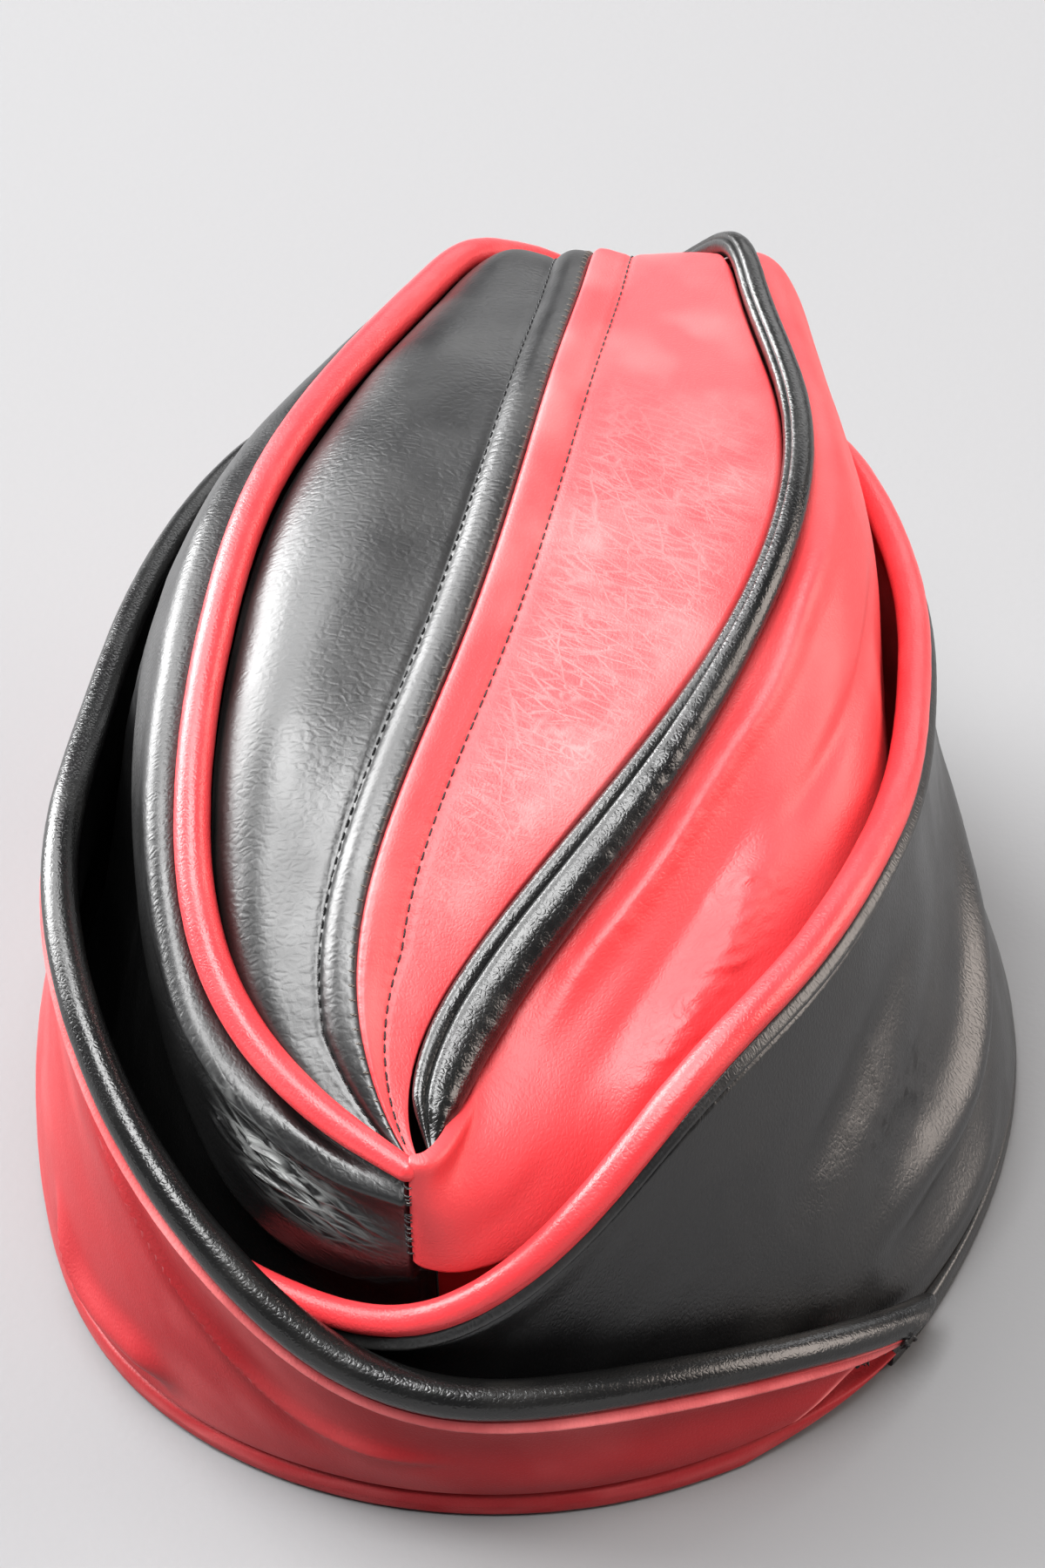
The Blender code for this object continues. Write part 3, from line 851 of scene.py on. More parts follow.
class Nodes:
    """A material's node tree, built up a node at a time."""

    def __init__(self, name: str) -> None:
        """Start a material that has only its shader and its output.

        Args:
            name: The material's name.
        """
        self.material = bpy.data.materials.new(name)
        self.material.use_nodes = True
        self.tree = self.material.node_tree
        self.shader = self.tree.nodes["Principled BSDF"]

    def add(
        self, kind: str, inputs: dict[str | int, object] | None = None, **settings: object
    ) -> bpy.types.Node:
        """Add a node.

        Args:
            kind: The node's type, without "ShaderNode".
            inputs: Values, or sockets to link, for its inputs.
            settings: The node's own properties.

        Returns:
            The new node.
        """
        node = self.tree.nodes.new("ShaderNode" + kind)
        for key, value in settings.items():
            setattr(node, key, value)
        for key, value in (inputs or {}).items():
            self.feed(node.inputs[key], value)
        return node

    def feed(self, socket: Socket, value: object) -> None:
        """Link an input, or set its value.

        Args:
            socket: The input.
            value: A socket to link it to, or the value.
        """
        if isinstance(value, Socket):
            self.tree.links.new(value, socket)
        else:
            socket.default_value = value

    def shade(self, **values: object) -> None:
        """Feed the shader's inputs.

        Args:
            values: Values, or sockets to link, by the input's name with _ for each space.
        """
        for name, value in values.items():
            self.feed(self.shader.inputs[name.replace("_", " ")], value)

    def flat(self) -> Socket:
        """The place on the flat leather, in metres."""
        return self.add("UVMap", uv_map="flat").outputs[0]

    def noise(self, place: Socket, scale: float, detail: float) -> bpy.types.Node:
        """A noise pattern with so many finer layers."""
        return self.add("TexNoise", {"Vector": place, "Scale": scale, "Detail": detail})

    def cells(self, place: Socket, scale: float) -> Socket:
        """The distance to the edge of the cell that a place lies in."""
        inputs = {"Vector": place, "Scale": scale}
        return self.add("TexVoronoi", inputs, feature="DISTANCE_TO_EDGE").outputs[0]

    def stretched(self, place: Socket, **inputs: object) -> Socket:
        """A place on a pattern that is moved, turned and scaled by the mapping's inputs."""
        inputs = {"Vector": place, **inputs}
        return self.add("Mapping", inputs, vector_type="TEXTURE").outputs[0]

    def vector(self, operation: str, inputs: dict[str | int, object]) -> Socket:
        """The result of one sum on vectors."""
        return self.add("VectorMath", inputs, operation=operation).outputs[0]

    def math(self, operation: str, *values: object) -> Socket:
        """The result of one sum on values or sockets."""
        return self.add("Math", dict(enumerate(values)), operation=operation).outputs[0]

    def plus(self, value: object, other: object, times: object) -> Socket:
        """A value with so many times another one added."""
        return self.math("ADD", value, self.math("MULTIPLY", other, times))

    def spread(
        self, value: object, low: float, high: float, start: float = 0, end: float = 1
    ) -> Socket:
        """Read a value off a smooth step.

        Args:
            value: The value.
            low: Where the step starts.
            high: Where it ends.
            start: The result up to its start.
            end: The result past its end.

        Returns:
            The result.
        """
        names = ("Value", "From Min", "From Max", "To Min", "To Max")
        inputs = dict(zip(names, (value, low, high, start, end)))
        return self.add("MapRange", inputs, interpolation_type="SMOOTHSTEP").outputs[0]

    def blend(self, share: Socket, first: Colour | Socket, second: Colour | Socket) -> Socket:
        """Mix two colours.

        Args:
            share: The second colour's share.
            first: The first colour.
            second: The second colour.

        Returns:
            The mixed colour.
        """
        node = self.add("Mix", data_type="RGBA")
        self.feed(node.inputs[0], share)
        for socket, value in ((node.inputs[6], first), (node.inputs[7], second)):
            self.feed(socket, value if isinstance(value, Socket) else (*value, 1))
        return node.outputs[2]

    def mark(self, name: str) -> Socket:
        """A named value that the mesh carries."""
        return self.add("Attribute", attribute_name=name).outputs["Fac"]

    def bump(self, height: Socket, distance: float) -> Socket:
        """The normal of a surface with these heights, as deep as a distance in millimetres."""
        return self.add("Bump", {"Height": height, "Distance": distance * MM}).outputs[0]


@dataclass(frozen=True)
class CreaseNet:
    """A broken net of fine creases, slanting one way and lying across the other.

    turn is its slant in degrees, long and narrow the size of its meshes in metres, thin
    its lines' width as a share of a mesh, and shift moves it to another pattern.
    """

    turn: float
    long: float
    narrow: float
    thin: float
    shift: float = 0.0

    def lines(self, nodes: Nodes, flat: Socket) -> Socket:
        """Draw the net.

        Args:
            nodes: The node tree.
            flat: The place on the flat leather.

        Returns:
            1 on a crease and 0 off it.
        """
        turned = nodes.stretched(
            flat, Location=(self.shift, self.shift, 0), Rotation=(0, 0, math.radians(self.turn)),
            Scale=(self.long, self.narrow, 1),
        )
        stray = nodes.noise(turned, 1.3, 3.0).outputs["Color"]
        stray = nodes.vector("SCALE", {0: stray, "Scale": 0.22})
        bent = nodes.vector("ADD", {0: turned, 1: stray})
        line = nodes.spread(nodes.cells(bent, 1.0), 0.0, self.thin, 1.0, 0.0)
        broken = nodes.noise(turned, 0.7, 2.0).outputs[0]
        return nodes.math("MULTIPLY", line, nodes.spread(broken, 0.36, 0.62, 0.3, 1.0))


@dataclass(frozen=True)
class LeatherFinish:
    """Soft garment leather: pebbled grain, faint mottling, creases and wear, with painted shade in
    the grain's furrows and painted highlights on its crease lines and marked edges.

    grain makes the pebbles larger, draw lengthens them across the piece, and grain_depth
    is their height in millimetres. The scales count pattern steps to a metre.
    """

    name: str
    slot: Slot
    colour: Colour
    shade: Colour
    wear_and_highlight_colour: Colour
    roughness: float
    grain: float
    grain_depth: float
    draw: float = 1.0
    pebbling: float = 0.6
    pleating: float = 1.6
    specular: float = 0.5
    coat: float = 0.0
    crease_depth: float = 0.0
    crease_highlight_colour: Colour = (0.95, 0.42, 0.41)
    creased: float = 0.0
    nets: tuple[CreaseNet, ...] = ()
    pebble_scale: float = 1000.0
    furrow: float = 0.32
    stray: float = 0.0007
    broad_scale: float = 60.0
    mottle_scale: float = 14.0
    pleat_size: tuple[float, float] = (0.0009, 0.0050)

    def pebbles(self, nodes: Nodes, flat: Socket) -> Socket:
        """The raised grain.

        Args:
            nodes: The node tree.
            flat: The place on the flat leather.

        Returns:
            1 on the pebbles, going down to 0 in the furrows.
        """
        scale = self.pebble_scale / self.grain
        grained = nodes.stretched(flat, Scale=(1.0, self.draw, 1.0))
        warp = nodes.noise(grained, scale * 0.35, 2.0).outputs["Color"]
        warp = nodes.vector("ADD", {0: warp, 1: (-0.5,) * 3})
        warp = nodes.vector("SCALE", {0: warp, "Scale": self.stray})
        place = nodes.vector("ADD", {0: grained, 1: warp})
        return nodes.spread(nodes.cells(place, scale), 0.0, self.furrow)

    def crease_lines(self, nodes: Nodes, flat: Socket) -> Socket:
        """The nets of creases, where the mesh is marked for them.

        Args:
            nodes: The node tree.
            flat: The place on the flat leather.

        Returns:
            1 on a crease and 0 off it.
        """
        total = 0.0
        for net in self.nets:
            total = nodes.math("MAXIMUM", total, net.lines(nodes, flat))
        return nodes.math("MULTIPLY", total, nodes.mark("crease"))

    def material(self) -> Material:
        """Build the finish.

        Returns:
            The material.
        """
        nodes = Nodes(self.name)
        flat = nodes.flat()
        pebble = self.pebbles(nodes, flat)
        fine = nodes.noise(flat, self.pebble_scale / self.grain * 2.6, 3.0).outputs[0]
        broad = nodes.noise(flat, self.broad_scale, 4.0).outputs[0]
        patchy = nodes.noise(flat, self.mottle_scale, 3.0).outputs[0]
        # This share lightens the colour: wear, and a painted highlight where the turn-ups' rolled
        # strips and cut end are marked.
        wear_and_highlight_amount = nodes.math("MULTIPLY", nodes.mark("wear_and_highlight"), nodes.spread(broad, 0.3, 0.65, 0.35, 1.0))

        colour = nodes.blend(nodes.spread(patchy, 0.35, 0.7), self.colour, self.shade)
        # The grain's furrows are darkened towards the shade colour: painted shade in the grain's
        # hollows.
        colour = nodes.blend(nodes.spread(pebble, 0.0, 0.5, 0.25, 0.0), colour, self.shade)
        colour = nodes.blend(wear_and_highlight_amount, colour, self.wear_and_highlight_colour)

        pleats = nodes.noise(nodes.stretched(flat, Scale=(*self.pleat_size, 1.0)), 1.0, 3.0)
        pleats = nodes.math("MULTIPLY", pleats.outputs[0], nodes.mark("pleat"))
        height = nodes.math("MULTIPLY", pebble, self.pebbling)
        height = nodes.plus(height, fine, 0.5)
        height = nodes.plus(height, broad, 1.2)
        height = nodes.plus(height, pleats, self.pleating)
        # The crease lines are lightened: a painted highlight for the glints on their small ridges.
        if self.crease_depth:
            line = self.crease_lines(nodes, flat)
            share = nodes.math("MULTIPLY", line, self.creased)
            colour = nodes.blend(share, colour, self.crease_highlight_colour)
            height = nodes.plus(height, line, self.crease_depth)

        low, high = self.roughness - 0.05, self.roughness + 0.07
        nodes.shade(
            Base_Color=colour,
            Roughness=nodes.plus(nodes.spread(broad, 0.3, 0.7, low, high), wear_and_highlight_amount, -0.06),
            Normal=nodes.bump(height, self.grain_depth * 2),
            Specular_IOR_Level=self.specular, Coat_Weight=self.coat, Coat_Roughness=0.28,
        )
        return nodes.material


@dataclass(frozen=True)
class SuedeFinish:
    """The flesh side of the leather: dull, napped and a little uneven."""

    name: str
    colour: Colour
    shade: Colour

    def material(self) -> Material:
        """Build the finish.

        Returns:
            The material.
        """
        nodes = Nodes(self.name)
        flat = nodes.flat()
        nap = nodes.noise(flat, 1400.0, 4.0).outputs[0]
        patchy = nodes.noise(flat, 40.0, 3.0).outputs[0]
        nodes.shade(
            Base_Color=nodes.blend(nodes.spread(patchy, 0.3, 0.7), self.colour, self.shade),
            Roughness=nodes.spread(nap, 0.2, 0.8, 0.75, 0.95),
            Normal=nodes.bump(nap, 0.12),
            Specular_IOR_Level=0.3, Sheen_Weight=0.25,
        )
        return nodes.material


@dataclass(frozen=True)
class ThreadFinish:
    """Waxed sewing thread with a twist of fine plies."""

    name: str
    colour: Colour

    def material(self) -> Material:
        """Build the finish.

        Returns:
            The material.
        """
        nodes = Nodes(self.name)
        flat = nodes.flat()
        turned = nodes.add("Mapping", {"Vector": flat, "Rotation": (0, 0, math.radians(35))})
        waves = {"Vector": turned.outputs[0], "Scale": 900.0, "Distortion": 1.0}
        ply = nodes.add("TexWave", waves).outputs["Fac"]
        # The thread is darker where its plies dip: painted shade in the grooves between them.
        ply_groove_shade = tuple(value * 0.45 for value in self.colour)
        fuzz = nodes.noise(flat, 2500.0, 2.0).outputs[0]
        nodes.shade(
            Base_Color=nodes.blend(ply, ply_groove_shade, self.colour),
            Roughness=nodes.spread(fuzz, 0.3, 0.7, 0.4, 0.65),
            Normal=nodes.bump(ply, 0.06),
        )
        return nodes.material


@dataclass(frozen=True)
class PaperFinish:
    """The studio's matt pale floor."""

    name: str = "floor_paper"
    colour: Colour = (0.201, 0.202, 0.206)

    def material(self) -> Material:
        """Build the finish.

        Returns:
            The material.
        """
        nodes = Nodes(self.name)
        place = nodes.add("TexCoord").outputs["Object"]
        broad = nodes.noise(place, 1.5, 2.0).outputs[0]
        fibre = nodes.noise(place, 700.0, 3.0).outputs[0]
        tint = tuple(value * 0.985 for value in self.colour)
        nodes.shade(
            Base_Color=nodes.blend(nodes.spread(broad, 0.3, 0.7), self.colour, tint),
            Normal=nodes.bump(fibre, 0.05),
            Roughness=0.9, Specular_IOR_Level=0.2,
        )
        return nodes.material


Finish = LeatherFinish | SuedeFinish | ThreadFinish

# The red's crease net is lightened pale pink: a painted highlight for the glints on the top's fine
# creases.
RED = LeatherFinish(
    "red_leather", Slot.RED_LEATHER, (0.67, 0.048, 0.054), (0.58, 0.036, 0.043),
    (0.95, 0.34, 0.33), roughness=0.45, grain=0.7, grain_depth=0.03, pebbling=0.35,
    crease_depth=0.8, creased=0.25,
    nets=(
        CreaseNet(-66.0, 0.0125, 0.0027, 0.085),
        CreaseNet(-74.0, 0.0085, 0.0020, 0.080, 0.013),
        CreaseNet(-81.0, 0.0065, 0.0015, 0.070, 0.027),
        CreaseNet(-40.0, 0.0150, 0.0050, 0.040, 0.041),
    ),
)
RED_SMOOTH = replace(RED, name="red_smooth_leather", crease_depth=0.0)
# A darker copy of the red for the left turn-up and its hem: painted shade for the flap's lower
# faces that turn away from the lights.
SHADED_RED = LeatherFinish(
    "shaded_red_leather", Slot.RED_LEATHER, (0.36, 0.020, 0.024), (0.28, 0.014, 0.018),
    (0.95, 0.26, 0.26), roughness=0.46, grain=0.7, grain_depth=0.03, pebbling=0.35,
    specular=0.22,
)
BLACK = LeatherFinish(
    "black_leather", Slot.BLACK_LEATHER, (0.0050, 0.0050, 0.0055), (0.0035, 0.0035, 0.0035),
    (0.040, 0.039, 0.037), roughness=0.38, grain=1.1, grain_depth=0.024, draw=1.7,
    pebbling=0.5, pleating=0.8, specular=0.85,
)
# The sides' crease lines are painted light grey: a painted highlight for the glints on the left
# side's wrinkles.
BLACK_SIDE = replace(
    BLACK, name="black_side_leather", roughness=0.36, grain=0.8, grain_depth=0.027, draw=1.5,
    pleating=0.9, specular=0.75, crease_depth=2.6, crease_highlight_colour=(0.42, 0.43, 0.42),
    creased=0.8,
    nets=(CreaseNet(16.0, 0.0070, 0.0017, 0.13), CreaseNet(-10.0, 0.0055, 0.0014, 0.12, 0.02)),
)
BLACK_SMOOTH = replace(BLACK_SIDE, name="black_smooth_leather", crease_depth=0.0)
RED_CORD = LeatherFinish(
    "red_piping", Slot.RED_PIPING, (0.67, 0.036, 0.044), (0.60, 0.030, 0.036),
    (0.92, 0.20, 0.20), roughness=0.35, grain=0.8, grain_depth=0.02, coat=0.05,
)
BLACK_CORD = LeatherFinish(
    "black_piping", Slot.BLACK_PIPING, (0.0050, 0.0050, 0.0050), (0.0035, 0.0035, 0.0035),
    (0.040, 0.037, 0.033), roughness=0.25, grain=0.8, grain_depth=0.02, specular=0.6,
)
RED_FLESH = SuedeFinish("red_flesh_side", (0.28, 0.03, 0.03), (0.18, 0.02, 0.02))
BLACK_FLESH = SuedeFinish("black_flesh_side", (0.03, 0.03, 0.03), (0.018, 0.018, 0.018))
THREAD = ThreadFinish("black_thread", (0.012, 0.012, 0.013))
GREY_THREAD = ThreadFinish("grey_thread", (0.30, 0.28, 0.26))
BEAD_THREAD = ThreadFinish("seam_thread", (0.10, 0.085, 0.07))


@dataclass
class Workshop:
    """Hands each piece over: its finishes, its body, and the node it stands for, whose solid it
    hides.
    """

    materials: dict[str, Material] = field(default_factory=dict)
    delivered: list[str] = field(default_factory=list)

    def material(self, finish: Finish) -> Material:
        """The material of a finish, built the first time that it is asked for."""
        if finish.name not in self.materials:
            self.materials[finish.name] = finish.material()
        return self.materials[finish.name]

    def deliver(self, piece: Object, finishes: tuple[Finish, ...], node: str = "") -> None:
        """Finish one piece, its first finish's material first. A solid that it stands for is
        hidden.

        Args:
            piece: The new piece.
            finishes: Its finishes, the outer face's first.
            node: The solid that it stands for, if any.
        """
        for finish in finishes:
            piece.data.materials.append(self.material(finish))
        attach(piece, BODY)
        if node:
            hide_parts(node)
        self.delivered.append(piece.name)
        LOG.info("%s: %d faces", piece.name, len(piece.data.polygons))


@dataclass
class StitchRow:
    """A row of even stitches along a line."""

    name: str
    pitch: float = STITCH_BEAT
    length: float = 1.75
    radius: float = 0.23
    arch: float = 0.12
    sink: float = 0.26
    wander: float = 0.06
    seed: int = 1

    def build(self, points: Array, normals: Array, start: float = 0.0, end: float = 0.0) -> Object:
        """Sew the row.

        Args:
            points: The line that it follows.
            normals: The leather's outward directions along the line.
            start: Length left bare at the line's start.
            end: Length left bare at its end.

        Returns:
            All the stitches as one object.
        """
        run = length_along(points)
        places = np.arange(start, run[-1] - end - self.length, self.pitch)
        draw = np.random.default_rng(self.seed)
        places = places + draw.normal(0, self.wander, len(places))
        ahead = places + self.length * (1 + draw.normal(0, 0.05, len(places)))
        first, last = read_along(places, run, points), read_along(ahead, run, points)
        up = unit(read_along(places, run, normals))
        return thread_mesh(self.name, first, last, up, self.radius, self.arch, self.sink)


def thread_mesh(
    name: str, first: Array, last: Array, up: Array, radius: float, arch: float, sink: float
) -> Object:
    """Short lengths of thread, each going down into the leather at both ends.

    Args:
        name: The object's name.
        first: Where each length starts.
        last: Where each length ends.
        up: The leather's outward direction at each.
        radius: The thread's radius.
        arch: How far its middle rises.
        sink: How far its ends sink.

    Returns:
        All the lengths as one object.
    """
    share = np.linspace(0, 1, 7)
    turn = np.linspace(0, 2 * math.pi, 7)[:-1]
    lift = arch * 4 * share * (1 - share) - sink * np.abs(2 * share - 1) ** 5
    thick = radius * np.sqrt(1 - 0.85 * np.abs(2 * share - 1) ** 6)
    way = unit(last - first)
    beside = unit(np.cross(way, up))
    line = first[:, None] + (last - first)[:, None] * share[None, :, None]
    line = line + up[:, None] * lift[None, :, None]
    ring = beside[:, None] * np.cos(turn)[None, :, None]
    ring = ring + up[:, None] * np.sin(turn)[None, :, None]
    points = line[:, :, None] + ring[:, None] * thick[None, :, None, None]
    count, rows, columns = points.shape[:3]
    block = grid_faces(rows, columns, closed=True).tolist()
    caps = [list(range(columns))[::-1], [(rows - 1) * columns + j for j in range(columns)]]
    step = rows * columns
    faces = [
        [corner + number * step for corner in face]
        for number in range(count)
        for face in block + caps
    ]
    run = np.linalg.norm(last - first, axis=-1)[:, None] * share[None, :]
    flat = np.stack(
        np.broadcast_arrays(run[:, :, None], (turn * radius)[None, None, :]), axis=-1
    )
    return closed_mesh(name, points.reshape(-1, 3), faces, flat.reshape(-1, 2))


def packed_shares(*parts: tuple[float, int]) -> Array:
    """Shares from 0 to 1, with a number of steps up to each named share.

    Args:
        parts: Pairs of a share and the steps that lead up to it.

    Returns:
        The shares.
    """
    shares, start = [0.0], 0.0
    for end, count in parts:
        shares += list(np.linspace(start, end, count + 1)[1:])
        start = end
    return np.array(shares)


def crown_stations(start: float, end: float) -> Array:
    """Stations between the crown's tips, closer together towards the front.

    Args:
        start: How far behind the front tip they start.
        end: How far before the back tip they end.

    Returns:
        The stations y.
    """
    first, last = CROWN_FRONT_Y + start, CROWN_BACK_Y - end
    near = np.arange(first, *FINE_STATIONS)
    middle = np.arange(near[-1] + 0.5, *PLAIN_STATIONS)
    far = np.linspace(middle[-1] + 0.8, last, FAR_COUNT)
    return np.concatenate([near, middle, far])


@dataclass
class CrownTop:
    """Half of the leaf-shaped top, from under the crest's piping to the centre seam.

    ridge, ridge_place and ridge_width are the pressed fold beside the seam; dome gives the
    fullness between the stitches and the piping; gap and shoulder are its edge there.
    Rows narrower than full_width, or dome_width, have everything smaller in step.
    """

    side: Side
    finishes: tuple[Finish, Finish]
    dome: Line
    gap: float
    shoulder: float
    ridge: float
    ridge_width: float
    ridge_place: float = 3.6
    start: float = 1.2
    end: float = 1.6
    thickness: float = 1.4
    stitch: float = 6.8
    seam_roll: float = 1.3
    groove: float = 0.45
    groove_width: float = 0.8
    pucker: float = 0.10
    pucker_width: float = 2.0
    tuck: float = 0.95
    scallop: float = 0.07
    scallop_pitch: float = 2.3
    full_width: float = 17.0
    dome_width: float = 34.0
    crease_share: float = 0.0
    seed: int = 3

    def frame(self) -> tuple[Patch, Array]:
        """The half's plain surface, and each row's width.

        Returns:
            The flat patch between the cord and the seam, and the widths.
        """
        places = crown_stations(self.start, self.end)
        crest, line = CREST.at(places), crest_line(places, self.side)
        seam = np.stack([crest.seam_x + self.side.value * 0.06, crest.y, crest.seam_z], axis=-1)
        edge = line.point - line.across * (line.width * self.tuck)[:, None]
        edge -= line.above * (line.depth * self.tuck)[:, None]
        shares = packed_shares((0.12, 10), (0.8, 38), (1.0, 18))
        points = edge[:, None] + (seam - edge)[:, None] * shares[None, :, None]
        wide = np.linalg.norm(seam - edge, axis=-1)
        across = wide[:, None] * (1 - shares[None, :])
        along = np.broadcast_to(places[:, None], across.shape)
        return Patch(points, along.copy(), across, self.side.value), wide

    def relief(self, patch: Patch, wide: Array) -> Array:
        """Heights over the plain surface: seam fold, ridge, stitch groove and dome.

        Args:
            patch: The plain surface.
            wide: Each row's width.

        Returns:
            A height for each point.
        """
        scale = np.minimum(1, wide / self.full_width)[:, None]
        v = patch.across / scale
        drop = np.clip(1 - v / self.seam_roll, 0, 1)
        height = -self.seam_roll * (1 - np.sqrt(1 - drop**2)) * 0.9
        height += self.ridge * swell(v, self.ridge_place, self.ridge_width)
        height -= self.groove * swell(v, self.stitch, self.groove_width)
        beat = np.cos(2 * math.pi * patch.along / STITCH_BEAT)
        uneven = 0.6 + 0.4 * rumple(patch.along / 9, v / 9, self.seed)
        height += self.pucker * beat * uneven * swell(v, self.stitch, self.pucker_width)
        scallop = np.cos(2 * math.pi * patch.along / self.scallop_pitch)
        height += self.scallop * scallop * swell(v, 0.5, 0.9)
        room = np.maximum(wide[:, None] - self.stitch * scale, 0.1)
        inside = np.clip((patch.across - self.stitch * scale) / room, 0, 1)
        knots = np.array(self.dome)
        shape = Spline(knots[:, 0], knots[:, 1:]).at(inside.ravel()).reshape(inside.shape)
        size = np.minimum(1, wide / self.dome_width)[:, None]
        shoulder = ease((wide[:, None] - patch.across - self.gap * size) / (self.shoulder * size))
        height = height * scale + shape * shoulder * size
        return height + 0.35 * rumple(patch.along / 26, v / 18, self.seed + 1) * ease(inside * 4)

    def marks(self, patch: Patch, wide: Array) -> dict[str, Array]:
        """The half's wear, its middle that carries the crease net and its painted highlight lines,
        and the puckers beside its seams.

        Args:
            patch: The plain surface.
            wide: Each row's width.

        Returns:
            The values that steer the finish.
        """
        u, v, room = patch.along, patch.across, wide[:, None] - patch.across
        middle = ease((v - 7) / 5) * ease(room / 8)
        reach = ease((u + 78) / 26) * ease((48 - u) / 34)
        zone = self.crease_share * middle * reach * (0.6 + 0.4 * rumple(u / 30, v / 20, 11))
        pleat = 0.2 * swell(v, 3.4, 3.2) + 0.5 * swell(v, 9.5, 2.5) + 0.3 * swell(room, 6.0, 4.0)
        return finish_marks(0.25 * rumple(u / 15, v / 12, 5) + 0.05, zone, pleat)

    def build(self, workshop: Workshop) -> None:
        """Make the half, its row of stitches and, on the left, the seam's beads.

        Args:
            workshop: Takes the finished pieces.
        """
        patch, wide = self.frame()
        height = self.relief(patch, wide)
        outer = patch.lifted(height)
        flesh = patch.lifted(np.minimum(height + 0.5, 0))
        panel = leather_panel(
            f"crown_top_{self.side.word}_leather", outer, self.thickness,
            self.marks(patch, wide), flesh,
        )
        workshop.deliver(panel, self.finishes, f"crown_top_{self.side.word}")
        scale = np.minimum(1, wide / self.full_width)
        points, normals = outer.contour(self.stitch * scale)
        sewn = StitchRow(
            f"top_stitches_{self.side.word}", radius=0.15, arch=0.1, sink=0.22,
            seed=21 + self.side.value,
        )
        row = sewn.build(points + normals * 0.06, normals, 5.0, 4.0)
        workshop.deliver(row, (THREAD,))
        if self.side is Side.LEFT:
            self.bead_seam(outer, scale, workshop)

    def bead_seam(self, outer: Patch, scale: Array, workshop: Workshop) -> None:
        """Sew the small beads of thread that cross the black edge of the centre seam.

        Args:
            outer: The half's outer face.
            scale: How much of its full size each row keeps.
            workshop: Takes the finished row.
        """
        inner, normals = outer.contour(0.25 * scale)
        away, _ = outer.contour(1.25 * scale)
        run = length_along(inner)
        places = np.arange(8.0, run[-1] - 8.0, self.scallop_pitch)
        first, last = read_along(places, run, inner), read_along(places + 0.35, run, away)
        up = unit(read_along(places, run, normals))
        beads = thread_mesh("seam_beads", first, last, up, radius=0.19, arch=0.14, sink=0.15)
        workshop.deliver(beads, (BEAD_THREAD,))


